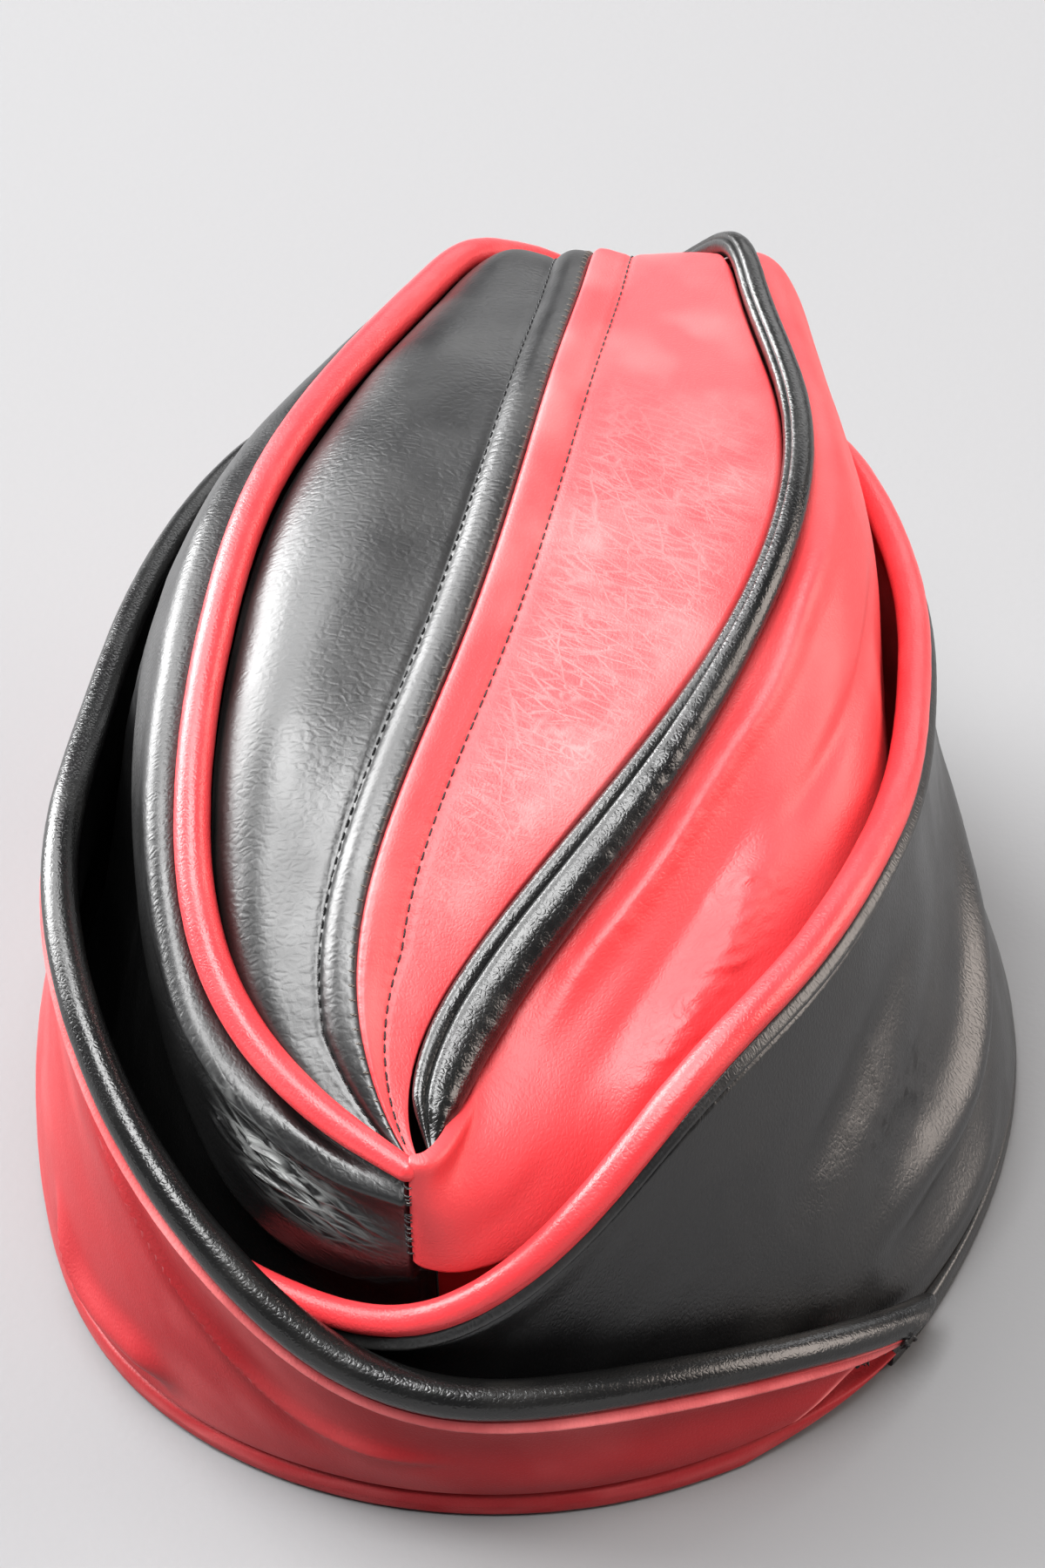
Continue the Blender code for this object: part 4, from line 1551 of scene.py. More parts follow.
@dataclass
class CrownSide:
    """One side of the crown, from below the crest's piping to its foot inside the hem.

    wrap lists pairs of a station and an angle: there the leather starts round the piping
    and not under it. waves are the heights of its broad and its fine waves. lobe is how
    far the right side stands out over the front seam, back to the station lobe_end. lap
    and tuck are how far the left side reaches past that seam, and in under it.
    """

    side: Side
    finishes: tuple[Finish, Finish]
    table: Table
    ledges: tuple[Ledge, ...]
    creases: Folds
    wrap: Line = ()
    waves: tuple[float, float] = (0.35, 0.12)
    thickness: float = 1.6
    edge_roll: float = 2.0
    lobe: float = 0.9
    lobe_end: float = -87.5
    lap: float = 0.9
    tuck: float = 1.9
    sewn: tuple[float, float] = (68.5, 54.0)
    seam_rows: int = 6
    seam_step: float = 0.5
    smoothings: int = 70
    seed: int = 31

    def sections(self) -> tuple[Array, Array, Array]:
        """The side's grid of points.

        Returns:
            The points, and each one's station and distance down from the crest.
        """
        places = crown_stations(0.3, 0.3)
        line, fold = crest_line(places, self.side), self.table.at(places)
        turn = np.radians(fold.heading)
        way = np.stack([self.side.value * np.sin(turn), -np.cos(turn), 0 * turn], axis=-1)
        down = np.array([0.0, 0.0, 1.0])
        foot = self.side.value * fold.foot
        rim = RIM.at(foot)
        foot_out = rim.rim_out - rim.foot_in
        start = line.point + line.across * (line.width * 0.35)[:, None]
        start -= line.above * (line.depth + 0.2)[:, None]
        if self.wrap:
            reach = np.radians(np.interp(places, *np.array(sorted(self.wrap)).T))[:, None]
            over = line.point + line.across * (line.width[:, None] + 0.4) * np.cos(reach)
            over += line.above * (line.depth[:, None] + 0.3 + self.thickness) * np.sin(reach)
            share = ease((self.wrap[0][0] - places) / 9)[:, None]
            start = start + (over - start) * share
        knots = [start]
        for out, drop in (
            (fold.roll_out, fold.roll_drop),
            (fold.fold_out, fold.fold_drop),
            (fold.belly_out, fold.belly_drop),
        ):
            knots.append(line.point + way * out[:, None] - down * drop[:, None])
        knots.append(rim_point(foot, fold.waist_out, WAIST_HEIGHT))
        knots.append(rim_point(foot, foot_out, ANKLE_HEIGHT))
        knots.append(rim_point(foot, foot_out, FOOT_HEIGHT))
        knots = np.stack(knots, axis=1)
        shares = packed_shares((0.13, 30), (0.35, 56), (0.7, 24), (1.0, 12))
        points = np.array([through(row, shares) for row in knots])
        points, places = self.with_seams(points, places)
        across = np.array([length_along(row) for row in points])
        along = np.broadcast_to(places[:, None], across.shape).copy()
        return points, along, across

    def with_seams(self, points: Array, places: Array) -> tuple[Array, Array]:
        """The rows with both seams' edges added and, on the right, the lobe drawn.

        Args:
            points: The side's rows from front to back.
            places: Each row's station.

        Returns:
            The longer list of rows and stations.
        """
        right = self.side is Side.RIGHT
        steps = self.seam_rows
        target = FRONT_SEAM_X + (-SEAM_GAP if right else self.lap)
        front, back = [], []
        for k in range(1, steps + 1):
            share = k / steps
            row = points[0].copy()
            row[:, 0] += (target - row[:, 0]) * share
            front.insert(0, row)
            last = points[-1].copy()
            last[:, 0] += (self.side.value * 0.08 - last[:, 0]) * share
            last[:, 1] -= 0.5 * ease((share - 0.5) * 2)
            back.append(last)
        extra = np.arange(steps, 0, -1) * self.seam_step
        places = np.concatenate([places[0] - extra, places, places[-1] + extra[::-1]])
        points = np.concatenate([front, points, back])
        if right:
            at_tip = ease((-95 - points[:, :1, 1]) / 4)
            points[:, :, 2] -= 1.2 * at_tip * ease((points[:, :, 2] - 52) / 12)
            end = int(np.searchsorted(places, self.lobe_end))
            share = (np.arange(end + 1) / end)[:, None, None]
            first, last = points[0], points[end]
            reach = np.linalg.norm(last - first, axis=-1, keepdims=True)
            away = unit(np.array([1.0, -0.38, 0.0])) * reach * 1.1
            onward = unit(points[end + 10] - points[end]) * reach * 1.1
            square, cube = share**2, share**3
            points[: end + 1] = (
                (2 * cube - 3 * square + 1) * first + (cube - 2 * square + share) * away
                + (3 * square - 2 * cube) * last + (cube - square) * onward
            )
            calm = (ease((-70 - places) / 6) * 0.5)[1:-1, None, None]
            for _ in range(self.smoothings):
                points[1:-1] += calm * ((points[:-2] + points[2:]) / 2 - points[1:-1])
        return points, places

    def tuck_under(self, patch: Patch) -> Patch:
        """Move the left side's front rows in under the right side's lap.

        Args:
            patch: The side as it stands.

        Returns:
            The side with its front rows moved in; the right side as it was.
        """
        if self.side is Side.RIGHT:
            return patch
        points = patch.points.copy()
        rows = self.seam_rows
        share = np.arange(rows, 0, -1) / rows
        points[:rows, :, 1] += (self.tuck * ease((share - 0.1) / 0.5))[:, None]
        return Patch(points, patch.along, patch.across, patch.outward)

    def build(self, workshop: Workshop) -> None:
        """Make the side and, on the right, the front seam's stitches.

        Args:
            workshop: Takes the finished pieces.
        """
        points, along, across = self.sections()
        patch = Patch(points, along, across, -self.side.value)
        turn_in = sum((ledge.height_on(patch) for ledge in self.ledges), np.zeros(along.shape))
        relief = self.relief(patch)
        outer = self.tuck_under(patch.lifted(turn_in + relief))
        flesh = self.tuck_under(patch.lifted(turn_in + np.minimum(relief + 0.8, 0)))
        wear_and_highlight = 0.2 * rumple(along / 18, across / 10, self.seed + 2)
        uneven = 0.6 + 0.4 * rumple(along / 14, across / 9, self.seed + 3)
        # The left side's wrinkled front is marked for the crease net, whose lines carry a painted
        # highlight.
        beyond = across + 0.45 * (along + 86)
        zone = swell(along, -86, 6.5) * swell(beyond, 12.0, 4.5)
        zone *= self.side is Side.LEFT
        panel = leather_panel(
            f"crown_side_{self.side.word}_leather", outer, self.thickness,
            finish_marks(wear_and_highlight, zone, ease((14 - across) / 6) * uneven), flesh,
        )
        workshop.deliver(panel, self.finishes, f"crown_side_{self.side.word}")
        if self.side is Side.RIGHT:
            self.sew_front(outer, workshop)

    def relief(self, patch: Patch) -> Array:
        """Heights over the plain side: soft waves, folds, and the front's rolled edge.

        Args:
            patch: The plain side.

        Returns:
            A height for each point.
        """
        along, across = patch.along, patch.across
        broad, fine = self.waves
        height = broad * rumple(along / 24, across / 14, self.seed) * ease((across - 4) / 6)
        height += fine * rumple(along / 6, across / 6, self.seed + 1) * ease((across - 4) / 6)
        height += fold_heights(self.creases, patch)
        height *= ease((along[-1, 0] - along - 2) / 4)
        if self.side is Side.RIGHT:
            near = patch.points[..., 0] - (FRONT_SEAM_X - SEAM_GAP)
            at_front = ease((-70 - patch.points[..., 1]) / 20)
            full = 0.35 + self.lobe * (1 - np.exp(-near / 1.1)) * np.exp(-((near / 24) ** 2))
            height += full * at_front * ease((34 - across) / 8)
            rolled = np.clip(1 - across / self.edge_roll, 0, 1)
            height -= 1.2 * (1 - np.sqrt(1 - rolled**2)) * at_front
        return height

    def sew_front(self, outer: Patch, workshop: Workshop) -> None:
        """Sew the hand stitches that close the front seam.

        Args:
            outer: The red side's outer face.
            workshop: Takes the finished stitches.
        """
        line, normals = outer.points[0], outer.normals()[2]
        run = length_along(line)
        draw = np.random.default_rng(self.seed + 5)
        for name, finish, count, reach, radius in (
            ("front_stitches", THREAD, 13, 1.9, 0.15),
            ("front_thread_ends", GREY_THREAD, 6, 1.4, 0.09),
        ):
            height = np.linspace(*self.sewn, count) + draw.normal(0, 0.3, count)
            places = np.interp(-height, -line[:, 2], run)
            up = unit(read_along(places, run, normals))
            slant = np.stack(
                [-np.ones(count), 0.75 * np.ones(count), draw.uniform(-0.7, 0.1, count)], axis=-1
            )
            first = read_along(places, run, line) + up * 0.2 + [0.45, -0.25, 0.0]
            last = first + unit(slant) * reach
            row = thread_mesh(name, first, last, up, radius, arch=0.3, sink=0.25)
            workshop.deliver(row, (finish,))


@dataclass
class CrestPiping:
    """The piping along one crest: a round cord, or a cord that flattens into a welt."""

    side: Side
    finish: Finish
    rings: int = 420
    sides: int = 28
    start_gap: float = 0.0
    end_gap: float = 0.8
    seed: int = 51

    def build(self, workshop: Workshop) -> None:
        """Make the piping.

        Args:
            workshop: Takes the finished piece.
        """
        first = CROWN_FRONT_Y + self.start_gap
        places = np.linspace(first, CROWN_BACK_Y - self.end_gap, self.rings)
        line, kept = rounded_ends(crest_line(places, self.side))
        u, v = line.places(self.sides)
        if self.side is Side.RIGHT:
            kept = kept * (0.35 + 0.65 * ease(u[:, 0] / 10))
            line.point[:, 2] -= ease(1 - u[:, 0] / 8)
        rings = line.rings(v, kept, self.relief(u, v, line))
        wear_and_highlight = 0.25 * rumple(u / 9, v * 2, self.seed + 5)
        marks = finish_marks(wear_and_highlight, pleat=0.5)
        piece = tube(f"crest_piping_{self.side.word}_cord", rings, u[:, 0], marks)
        workshop.deliver(piece, (self.finish,), f"crest_piping_{self.side.word}")

    def relief(self, u: Array, v: Array, line: CordLine) -> Array:
        """How far the cord's skin stands out from its even section.

        Args:
            u: Running length of each point.
            v: Angle round the section, from across towards above.
            line: The cord's line.

        Returns:
            A height for each point.
        """
        height = 0.05 * rumple(u / 5, v * 1.5, self.seed)
        height += 0.03 * rumple(u / 1.6, v * 2, self.seed + 1)
        if self.side is Side.LEFT:
            return height
        flatness = ease((line.width / line.depth - 1.1) / 0.5)[:, None]
        groove = swell(v, math.radians(130), 0.13)
        height = height - (0.5 + 0.5 * flatness) * groove
        height += 0.55 * swell(v, math.radians(72), 0.5) * flatness
        pleats = rumple(u / 1.3, v * 0.5, self.seed + 2, 2) * swell(v, math.radians(60), 0.6)
        return height + 0.22 * pleats * flatness


@dataclass
class TurnUp:
    """One turned-up flap: its outer leather, its facing and the piping on its free edge.

    It runs round the rim from the angle start to end, and its piping from cord_start to
    cord_end. strip and strip_height are the rolled strip under the piping,
    edge_wear_and_highlight is how much that is lightened, as wear and as a painted highlight,
    and cut is how far the flap's first end is slanted.
    """

    side: Side
    finishes: tuple[Finish, Finish]
    facing_finish: Finish
    cord_finish: Finish
    thread: Finish
    table: Table
    start: float
    end: float
    cord_start: float
    cord_end: float
    creases: Folds
    edge_wear_and_highlight: float
    step: float = 1.35
    facing_step: float = 2.16
    cord_step: float = 0.8
    cord_sides: int = 26
    thickness: float = 1.6
    facing: float = 1.2
    facing_gap: float = 0.25
    facing_inset: float = 2.5
    base: float = 5.3
    strip: float = 3.6
    strip_height: float = 1.3
    groove: float = 1.1
    groove_width: float = 0.55
    cut: float = 0.0
    seed: int = 71

    def face(self, angles: Array, shares: Array) -> Patch:
        """The outer face between two angles, from the piping down to the base.

        Args:
            angles: The rows' angles.
            shares: The columns' places, from 0 at the piping to 1 at the base.

        Returns:
            The patch.
        """
        row, rim = self.table.at(angles), RIM.at(angles)
        edge = rim_point(angles, row.edge_out, row.edge_z)
        room = row.edge_z - row.cord_r - self.base
        fold_z = self.base + np.minimum(row.fold_z - self.base, room * 0.5)
        waist_z = (fold_z + row.edge_z - row.cord_r) / 2
        base = rim_point(angles, rim.rim_out + row.base_out, self.base)
        fold = rim_point(angles, row.fold_out, fold_z)
        waist = rim_point(angles, row.waist_out, waist_z)
        up = unit(edge - waist)
        outwards = rim_point(angles, 1, 0) - rim_point(angles, 0, 0)
        outwards -= up * (outwards * up).sum(axis=-1, keepdims=True)
        radius = row.cord_r[:, None]
        top = edge - up * radius * 0.82 + unit(outwards) * radius * 0.70
        knots = np.stack([top, waist, fold, base], axis=1)
        points = np.array([through(line, shares) for line in knots])
        across = np.array([length_along(line) for line in points])
        run = np.radians(angles) * RIM_MEAN_RADIUS
        along = np.broadcast_to(run[:, None], across.shape).copy()
        outward = 1 if self.start > self.end else -1
        return Patch(points, along, across, outward)

    def build(self, workshop: Workshop) -> None:
        """Make the outer leather, the facing, the piping and the stitches.

        Args:
            workshop: Takes the finished pieces.
        """
        word = self.side.word
        shares = packed_shares((0.09, 14), (1.0, 50))
        patch = self.slanted(self.face(rim_angles(self.start, self.end, self.step), shares))
        height, tall = self.relief(patch)
        outer = patch.lifted(height)
        wear_and_highlight = 0.25 * rumple(patch.along / 20, patch.across / 16, self.seed + 2)
        # The rolled strip under the piping is lightened as a painted highlight, on top of its
        # wear.
        wear_and_highlight = wear_and_highlight + self.edge_wear_and_highlight * swell(patch.across, 1.6, 1.3)
        # On the slanted tail the cut end is lightened too: partly the raw edge's paler colour,
        # partly a painted highlight.
        if self.cut:
            edge = swell(np.arange(len(patch.along)), 0, 1.6)[:, None]
            wear_and_highlight = np.maximum(wear_and_highlight, edge * ease(patch.across / 4))
        marks = finish_marks(wear_and_highlight, pleat=0.9 * ease((6 - patch.across) / 3))
        flesh = patch.lifted(np.minimum(height + 0.7, 0) * ease(patch.across / 6))
        panel = leather_panel(f"flap_{word}_leather", outer, self.skived(patch), marks, flesh)
        workshop.deliver(panel, self.finishes, f"flap_{word}")

        self.build_facing(workshop)
        self.build_cord(workshop)

        points, normals = outer.contour(np.minimum(self.strip, tall * 0.45))
        sewn = StitchRow(f"flap_stitches_{word}", seed=self.seed, length=1.45, radius=0.2)
        row = sewn.build(points + normals * 0.08, normals, 3.0, 2.0)
        workshop.deliver(row, (self.thread,))
        if self.cut:
            self.knots(outer, workshop)

    def skived(self, patch: Patch) -> Array:
        """The leather's thickness, thinned towards the edge that the piping holds."""
        share = SKIVED_SHARE + (1 - SKIVED_SHARE) * ease(patch.across / SKIVED_RUN)
        return self.thickness * share

    def relief(self, patch: Patch) -> tuple[Array, Array]:
        """Heights over the plain face: the rolled strip, the stitch groove and soft waves.

        Args:
            patch: The plain face.

        Returns:
            A height for each point, and each row's length down.
        """
        tall = patch.across[:, -1]
        v = patch.across
        scale = np.minimum(1, tall * 0.45 / self.strip)[:, None]
        place = v / scale
        height = self.strip_height * swell(place, self.strip * 0.48, 1.25)
        height -= self.groove * swell(place, self.strip, self.groove_width)
        beat = np.cos(2 * math.pi * patch.along / STITCH_BEAT)
        height += 0.07 * beat * swell(place, self.strip, 1.6)
        height *= scale
        inside = ease((v - 5) / 6) * ease((tall[:, None] - v) / 5)
        height += 0.5 * rumple(patch.along / 34, v / 22, self.seed) * inside
        height += 0.10 * rumple(patch.along / 7, v / 7, self.seed + 1) * inside
        height -= 0.7 * ease(1 - (tall[:, None] - v) / 1.2)
        return height + fold_heights(self.creases, patch) * inside, tall

    def knots(self, outer: Patch, workshop: Workshop) -> None:
        """Tie off the seams' threads at the tail's cut end.

        Args:
            outer: The outer leather's face.
            workshop: Takes the finished knots.
        """
        draw = np.random.default_rng(self.seed + 3)
        normals = outer.normals()
        first, last, up = [], [], []
        for row, wanted, count in ((0, 0.4, 9), (0, 3.2, 9), (1, 4.6, 8)):
            column = int(np.argmin(np.abs(outer.across[row] - wanted)))
            middle = outer.points[row, column] + normals[row + 2, column] * 0.5
            for _ in range(count):
                way = unit(draw.normal(0, 1, 3))
                half = draw.uniform(0.5, 1.3)
                centre = middle + draw.normal(0, 0.5, 3)
                first.append(centre - way * half)
                last.append(centre + way * half)
                up.append(unit(np.cross(way, draw.normal(0, 1, 3))))
        made = thread_mesh(
            "tail_knots", np.array(first), np.array(last), np.array(up),
            radius=0.27, arch=0.5, sink=0.1,
        )
        workshop.deliver(made, (THREAD,))

    def slanted(self, patch: Patch) -> Patch:
        """The patch with its first end cut on a slant.

        Args:
            patch: The patch with a straight end.

        Returns:
            The patch whose first rows crowd together towards the foot.
        """
        if not self.cut:
            return patch
        rows, columns = patch.along.shape
        number = np.arange(rows, dtype=float)
        share = patch.across[0] / patch.across[0].max()
        spacing = abs(patch.along[1, 0] - patch.along[0, 0])
        shift = self.cut * np.clip((share - 0.2) / 0.8, 0, 1) / spacing
        span = 2.4 * self.cut / spacing
        grids = np.concatenate(
            [patch.points, patch.along[..., None], patch.across[..., None]], axis=-1
        )
        result = np.empty_like(grids)
        for j in range(columns):
            wanted = number + shift[j] * np.clip(1 - number / span, 0, 1) ** 1.5
            for k in range(grids.shape[2]):
                result[:, j, k] = np.interp(wanted, number, grids[:, j, k])
        return Patch(result[..., :3], result[..., 3], result[..., 4], patch.outward)

    def build_facing(self, workshop: Workshop) -> None:
        """Make the facing behind the outer leather.

        Args:
            workshop: Takes the finished piece.
        """
        inset = math.copysign(self.facing_inset, self.start - self.end)
        angles = rim_angles(self.start - inset, self.end, self.facing_step)
        patch = self.slanted(self.face(angles, packed_shares((0.12, 6), (1.0, 30))))
        gap = self.skived(patch) + self.facing_gap
        gap = gap - np.minimum(self.relief(patch)[0] + 0.7, 0) * ease(patch.across / 6)
        gap = gap + 0.15 * rumple(patch.along / 12, patch.across / 12, self.seed + 7)
        name = f"flap_{self.side.word}_facing"
        marks = finish_marks(0 * gap)
        piece = leather_panel(f"{name}_leather", patch.lifted(-gap), self.facing, marks)
        workshop.deliver(piece, (self.facing_finish,) * 2, name)

    def build_cord(self, workshop: Workshop) -> None:
        """Make the piping along the free edge.

        Args:
            workshop: Takes the finished piece.
        """
        angles = rim_angles(self.cord_start, self.cord_end, self.cord_step)
        row = self.table.at(angles)
        point = rim_point(angles, row.edge_out, row.edge_z)
        along = unit(np.gradient(point, axis=0))
        across = unit(np.cross(along, [0.0, 0.0, 1.0]))
        above = np.cross(across, along)
        radius = np.array(row.cord_r)
        line, kept = rounded_ends(CordLine(point, across, above, radius, radius))
        u, v = line.places(self.cord_sides)
        extra = 0.06 * rumple(u / 6, v * 1.5, self.seed + 8)
        extra += 0.035 * rumple(u / 1.7, v * 2, self.seed + 9)
        rings = line.rings(v, kept, extra)
        if self.cut:
            low = (1 - np.sin(v + math.radians(20))) / 2 * ease(1 - u / 16)
            rings = rings + line.along[:, None] * (10.0 * low)[..., None]
        wear_and_highlight = 0.25 * rumple(u / 9, v * 2, self.seed + 4)
        marks = finish_marks(wear_and_highlight, pleat=0.5)
        piece = tube(f"flap_piping_{self.side.word}_cord", rings, u[:, 0], marks)
        workshop.deliver(piece, (self.cord_finish,), f"flap_piping_{self.side.word}")


@dataclass
class Hem:
    """The folded band that the cap rests on, under one turn-up.

    power rounds its section's corners, from 1 for an oval down to 0 for a box. It stays
    inset from the turn-up's base. Over the length rise its first end goes up to nothing.
    """

    side: Side
    finish: Finish
    table: Table
    start: float
    end: float
    height: float = HEM_HEIGHT
    thickness: float = HEM_THICKNESS
    inset: float = 0.3
    swelling: float = 0.02
    rise: float = 0.0
    step: float = 1.2
    sides: int = 26
    power: float = 0.45
    seed: int = 91

    def profile(self, reach: float) -> Array:
        """The band's rounded section.

        Args:
            reach: How far its outer face stands out.

        Returns:
            Pairs of a distance out and a height.
        """
        turn = np.linspace(0, 2 * math.pi, self.sides + 1)[:-1]
        side, rise = (
            np.sign(value) * np.abs(value) ** self.power for value in (np.cos(turn), np.sin(turn))
        )
        out = (reach - self.thickness) / 2 + (reach + self.thickness) / 2 * side
        return np.stack([out, self.height / 2 * (1 + rise)], axis=-1)

    def build(self, workshop: Workshop) -> None:
        """Make the band.

        Args:
            workshop: Takes the finished piece.
        """
        angles = rim_angles(self.start, self.end, self.step)
        rim, row = RIM.at(angles), self.table.at(angles)
        rings = []
        for angle, shift, base_out in zip(angles, rim.rim_out, row.base_out):
            section = self.profile(max(0.0, base_out - self.inset))
            rings.append(rim_point(angle, section[:, 0] + shift, section[:, 1]))
        rings = np.array(rings)
        run = np.radians(angles) * RIM_MEAN_RADIUS
        u = np.broadcast_to(run[:, None], rings.shape[:2])
        v = np.broadcast_to(np.arange(self.sides)[None, :] * 0.6, u.shape)
        wear_and_highlight = 0.3 * rumple(u / 12, v, self.seed)
        middle = rings.mean(axis=1, keepdims=True)
        swollen = 1 + self.swelling * rumple(u / 5, v, self.seed + 1)[..., None]
        shaped = middle + (rings - middle) * swollen
        shaped[..., 2] = np.maximum(shaped[..., 2], 0.0)
        if self.rise:
            share = np.clip(1 - np.abs(run - run[0])[:, None] / self.rise, 0, 1)
            lifted = self.height * 0.93 * share**0.8
            shaped[..., 2] = lifted + shaped[..., 2] * (1 - lifted / self.height)
        marks = finish_marks(wear_and_highlight, pleat=0.3)
        piece = tube(f"hem_{self.side.word}_fold", shaped, run, marks)
        workshop.deliver(piece, (self.finish,), f"hem_{self.side.word}")


def towards(azimuth: float, elevation: float) -> Array:
    """A direction from the cap.

    Args:
        azimuth: Its angle from +Y towards +X, in degrees.
        elevation: Its angle over the floor, in degrees.

    Returns:
        The direction, one long.
    """
    turn, rise = math.radians(azimuth), math.radians(elevation)
    level = math.cos(rise)
    return np.array([math.sin(turn) * level, math.cos(turn) * level, math.sin(rise)])


@dataclass(frozen=True)
class Lamp:
    """One soft lamp that points at the cap.

    azimuth and elevation say where it hangs, in degrees as in towards. size is the width
    and height of its face in metres, and radiance how bright that is.
    """

    name: str
    azimuth: float
    elevation: float
    size: tuple[float, float]
    radiance: float
    distance: float = 4.0
    colour: Colour = (1.0, 1.0, 1.0)
    aim_height: float = 0.06

    def hang(self) -> None:
        """Add the lamp to the scene."""
        place = Vector((towards(self.azimuth, self.elevation) * self.distance).tolist())
        data = bpy.data.lights.new(self.name, "AREA")
        data.shape = "RECTANGLE"
        data.size, data.size_y = self.size
        data.color = self.colour
        data.energy = self.radiance * math.pi * self.size[0] * self.size[1]
        lamp = bpy.data.objects.new(self.name, data)
        lamp.location = place
        aim = Vector((0, 0, self.aim_height)) - place
        lamp.rotation_mode = "QUATERNION"
        lamp.rotation_quaternion = aim.to_track_quat("-Z", "Y")
        bpy.context.scene.collection.objects.link(lamp)


@dataclass
class Studio:
    """A pale floor, soft lights and the camera.

    The camera looks at the front from azimuth degrees towards +X and elevation degrees up.
    It stands at distance from a point target_height over the floor, moved against the
    shifts across and up in its own picture, all in millimetres.
    """

    azimuth: float = 9.26
    elevation: float = 39.98
    roll: float = -1.44
    distance: float = 823.0
    shift_across: float = -0.36
    shift_up: float = -11.44
    target_height: float = 50.0
    sensor: float = 36.0
    lens: float = 111.92
    floor_size: float = 6.0
    floor_drop: float = 0.0003
    air: float = 0.14
    air_colour: Colour = (0.93, 0.95, 1.0)
    lamps: tuple[Lamp, ...] = (
        Lamp("window", -70.0, 23.0, (3.2, 2.8), 19.0),
        Lamp("high", -66.0, 66.0, (2.5, 2.2), 6.8, 3.2),
        Lamp("front", -174.0, 71.0, (1.7, 1.5), 16.0, 3.2),
        Lamp("back", 15.0, 28.0, (3.0, 1.6), 2.2, 3.6),
        Lamp("right", 80.0, 22.0, (2.8, 2.8), 6.6, 4.0, (1.0, 0.88, 0.80)),
    )

    def axes(self) -> tuple[Array, Array, Array]:
        """The camera's own directions.

        Returns:
            Its right, up and backward directions.
        """
        back = towards(180 - self.azimuth, self.elevation)
        azimuth, roll = math.radians(self.azimuth), math.radians(self.roll)
        level = np.array([math.cos(azimuth), math.sin(azimuth), 0.0])
        upright = np.cross(back, level)
        right = level * math.cos(roll) + upright * math.sin(roll)
        up = -level * math.sin(roll) + upright * math.cos(roll)
        return right, up, back

    def camera(self) -> None:
        """Place the camera at the cap's viewing angle."""
        right, up, back = self.axes()
        eye = np.array([0.0, 0.0, self.target_height]) + back * self.distance
        eye = eye - right * self.shift_across - up * self.shift_up - BOX_MIDDLE
        data = bpy.data.cameras.new("camera")
        data.sensor_width = self.sensor
        data.lens = self.lens
        data.clip_start, data.clip_end = 0.01, 50
        camera = bpy.data.objects.new("camera", data)
        turned = Matrix(np.stack([right, up, back], axis=1).tolist()).to_4x4()
        turned.translation = Vector((eye * MM).tolist())
        camera.matrix_world = turned
        bpy.context.scene.collection.objects.link(camera)
        bpy.context.scene.camera = camera

    def floor(self) -> None:
        """Lay the floor, a hair below the rim."""
        mesh = bpy.data.meshes.new("floor")
        half = self.floor_size / 2
        corners = ((-half, -half), (half, -half), (half, half), (-half, half))
        mesh.from_pydata([(x, y, -self.floor_drop) for x, y in corners], [], [(0, 1, 2, 3)])
        mesh.materials.append(PaperFinish().material())
        floor = bpy.data.objects.new("floor", mesh)
        bpy.context.scene.collection.objects.link(floor)

    def build(self) -> None:
        """Make the floor, the air, the lights and the camera."""
        self.floor()
        world = bpy.data.worlds.new("air")
        world.use_nodes = True
        background = world.node_tree.nodes["Background"]
        background.inputs["Color"].default_value = (*self.air_colour, 1)
        background.inputs["Strength"].default_value = self.air
        bpy.context.scene.world = world
        bpy.context.scene.view_settings.view_transform = "Standard"
        bpy.context.scene.view_settings.look = "None"
        for lamp in self.lamps:
            lamp.hang()
        self.camera()


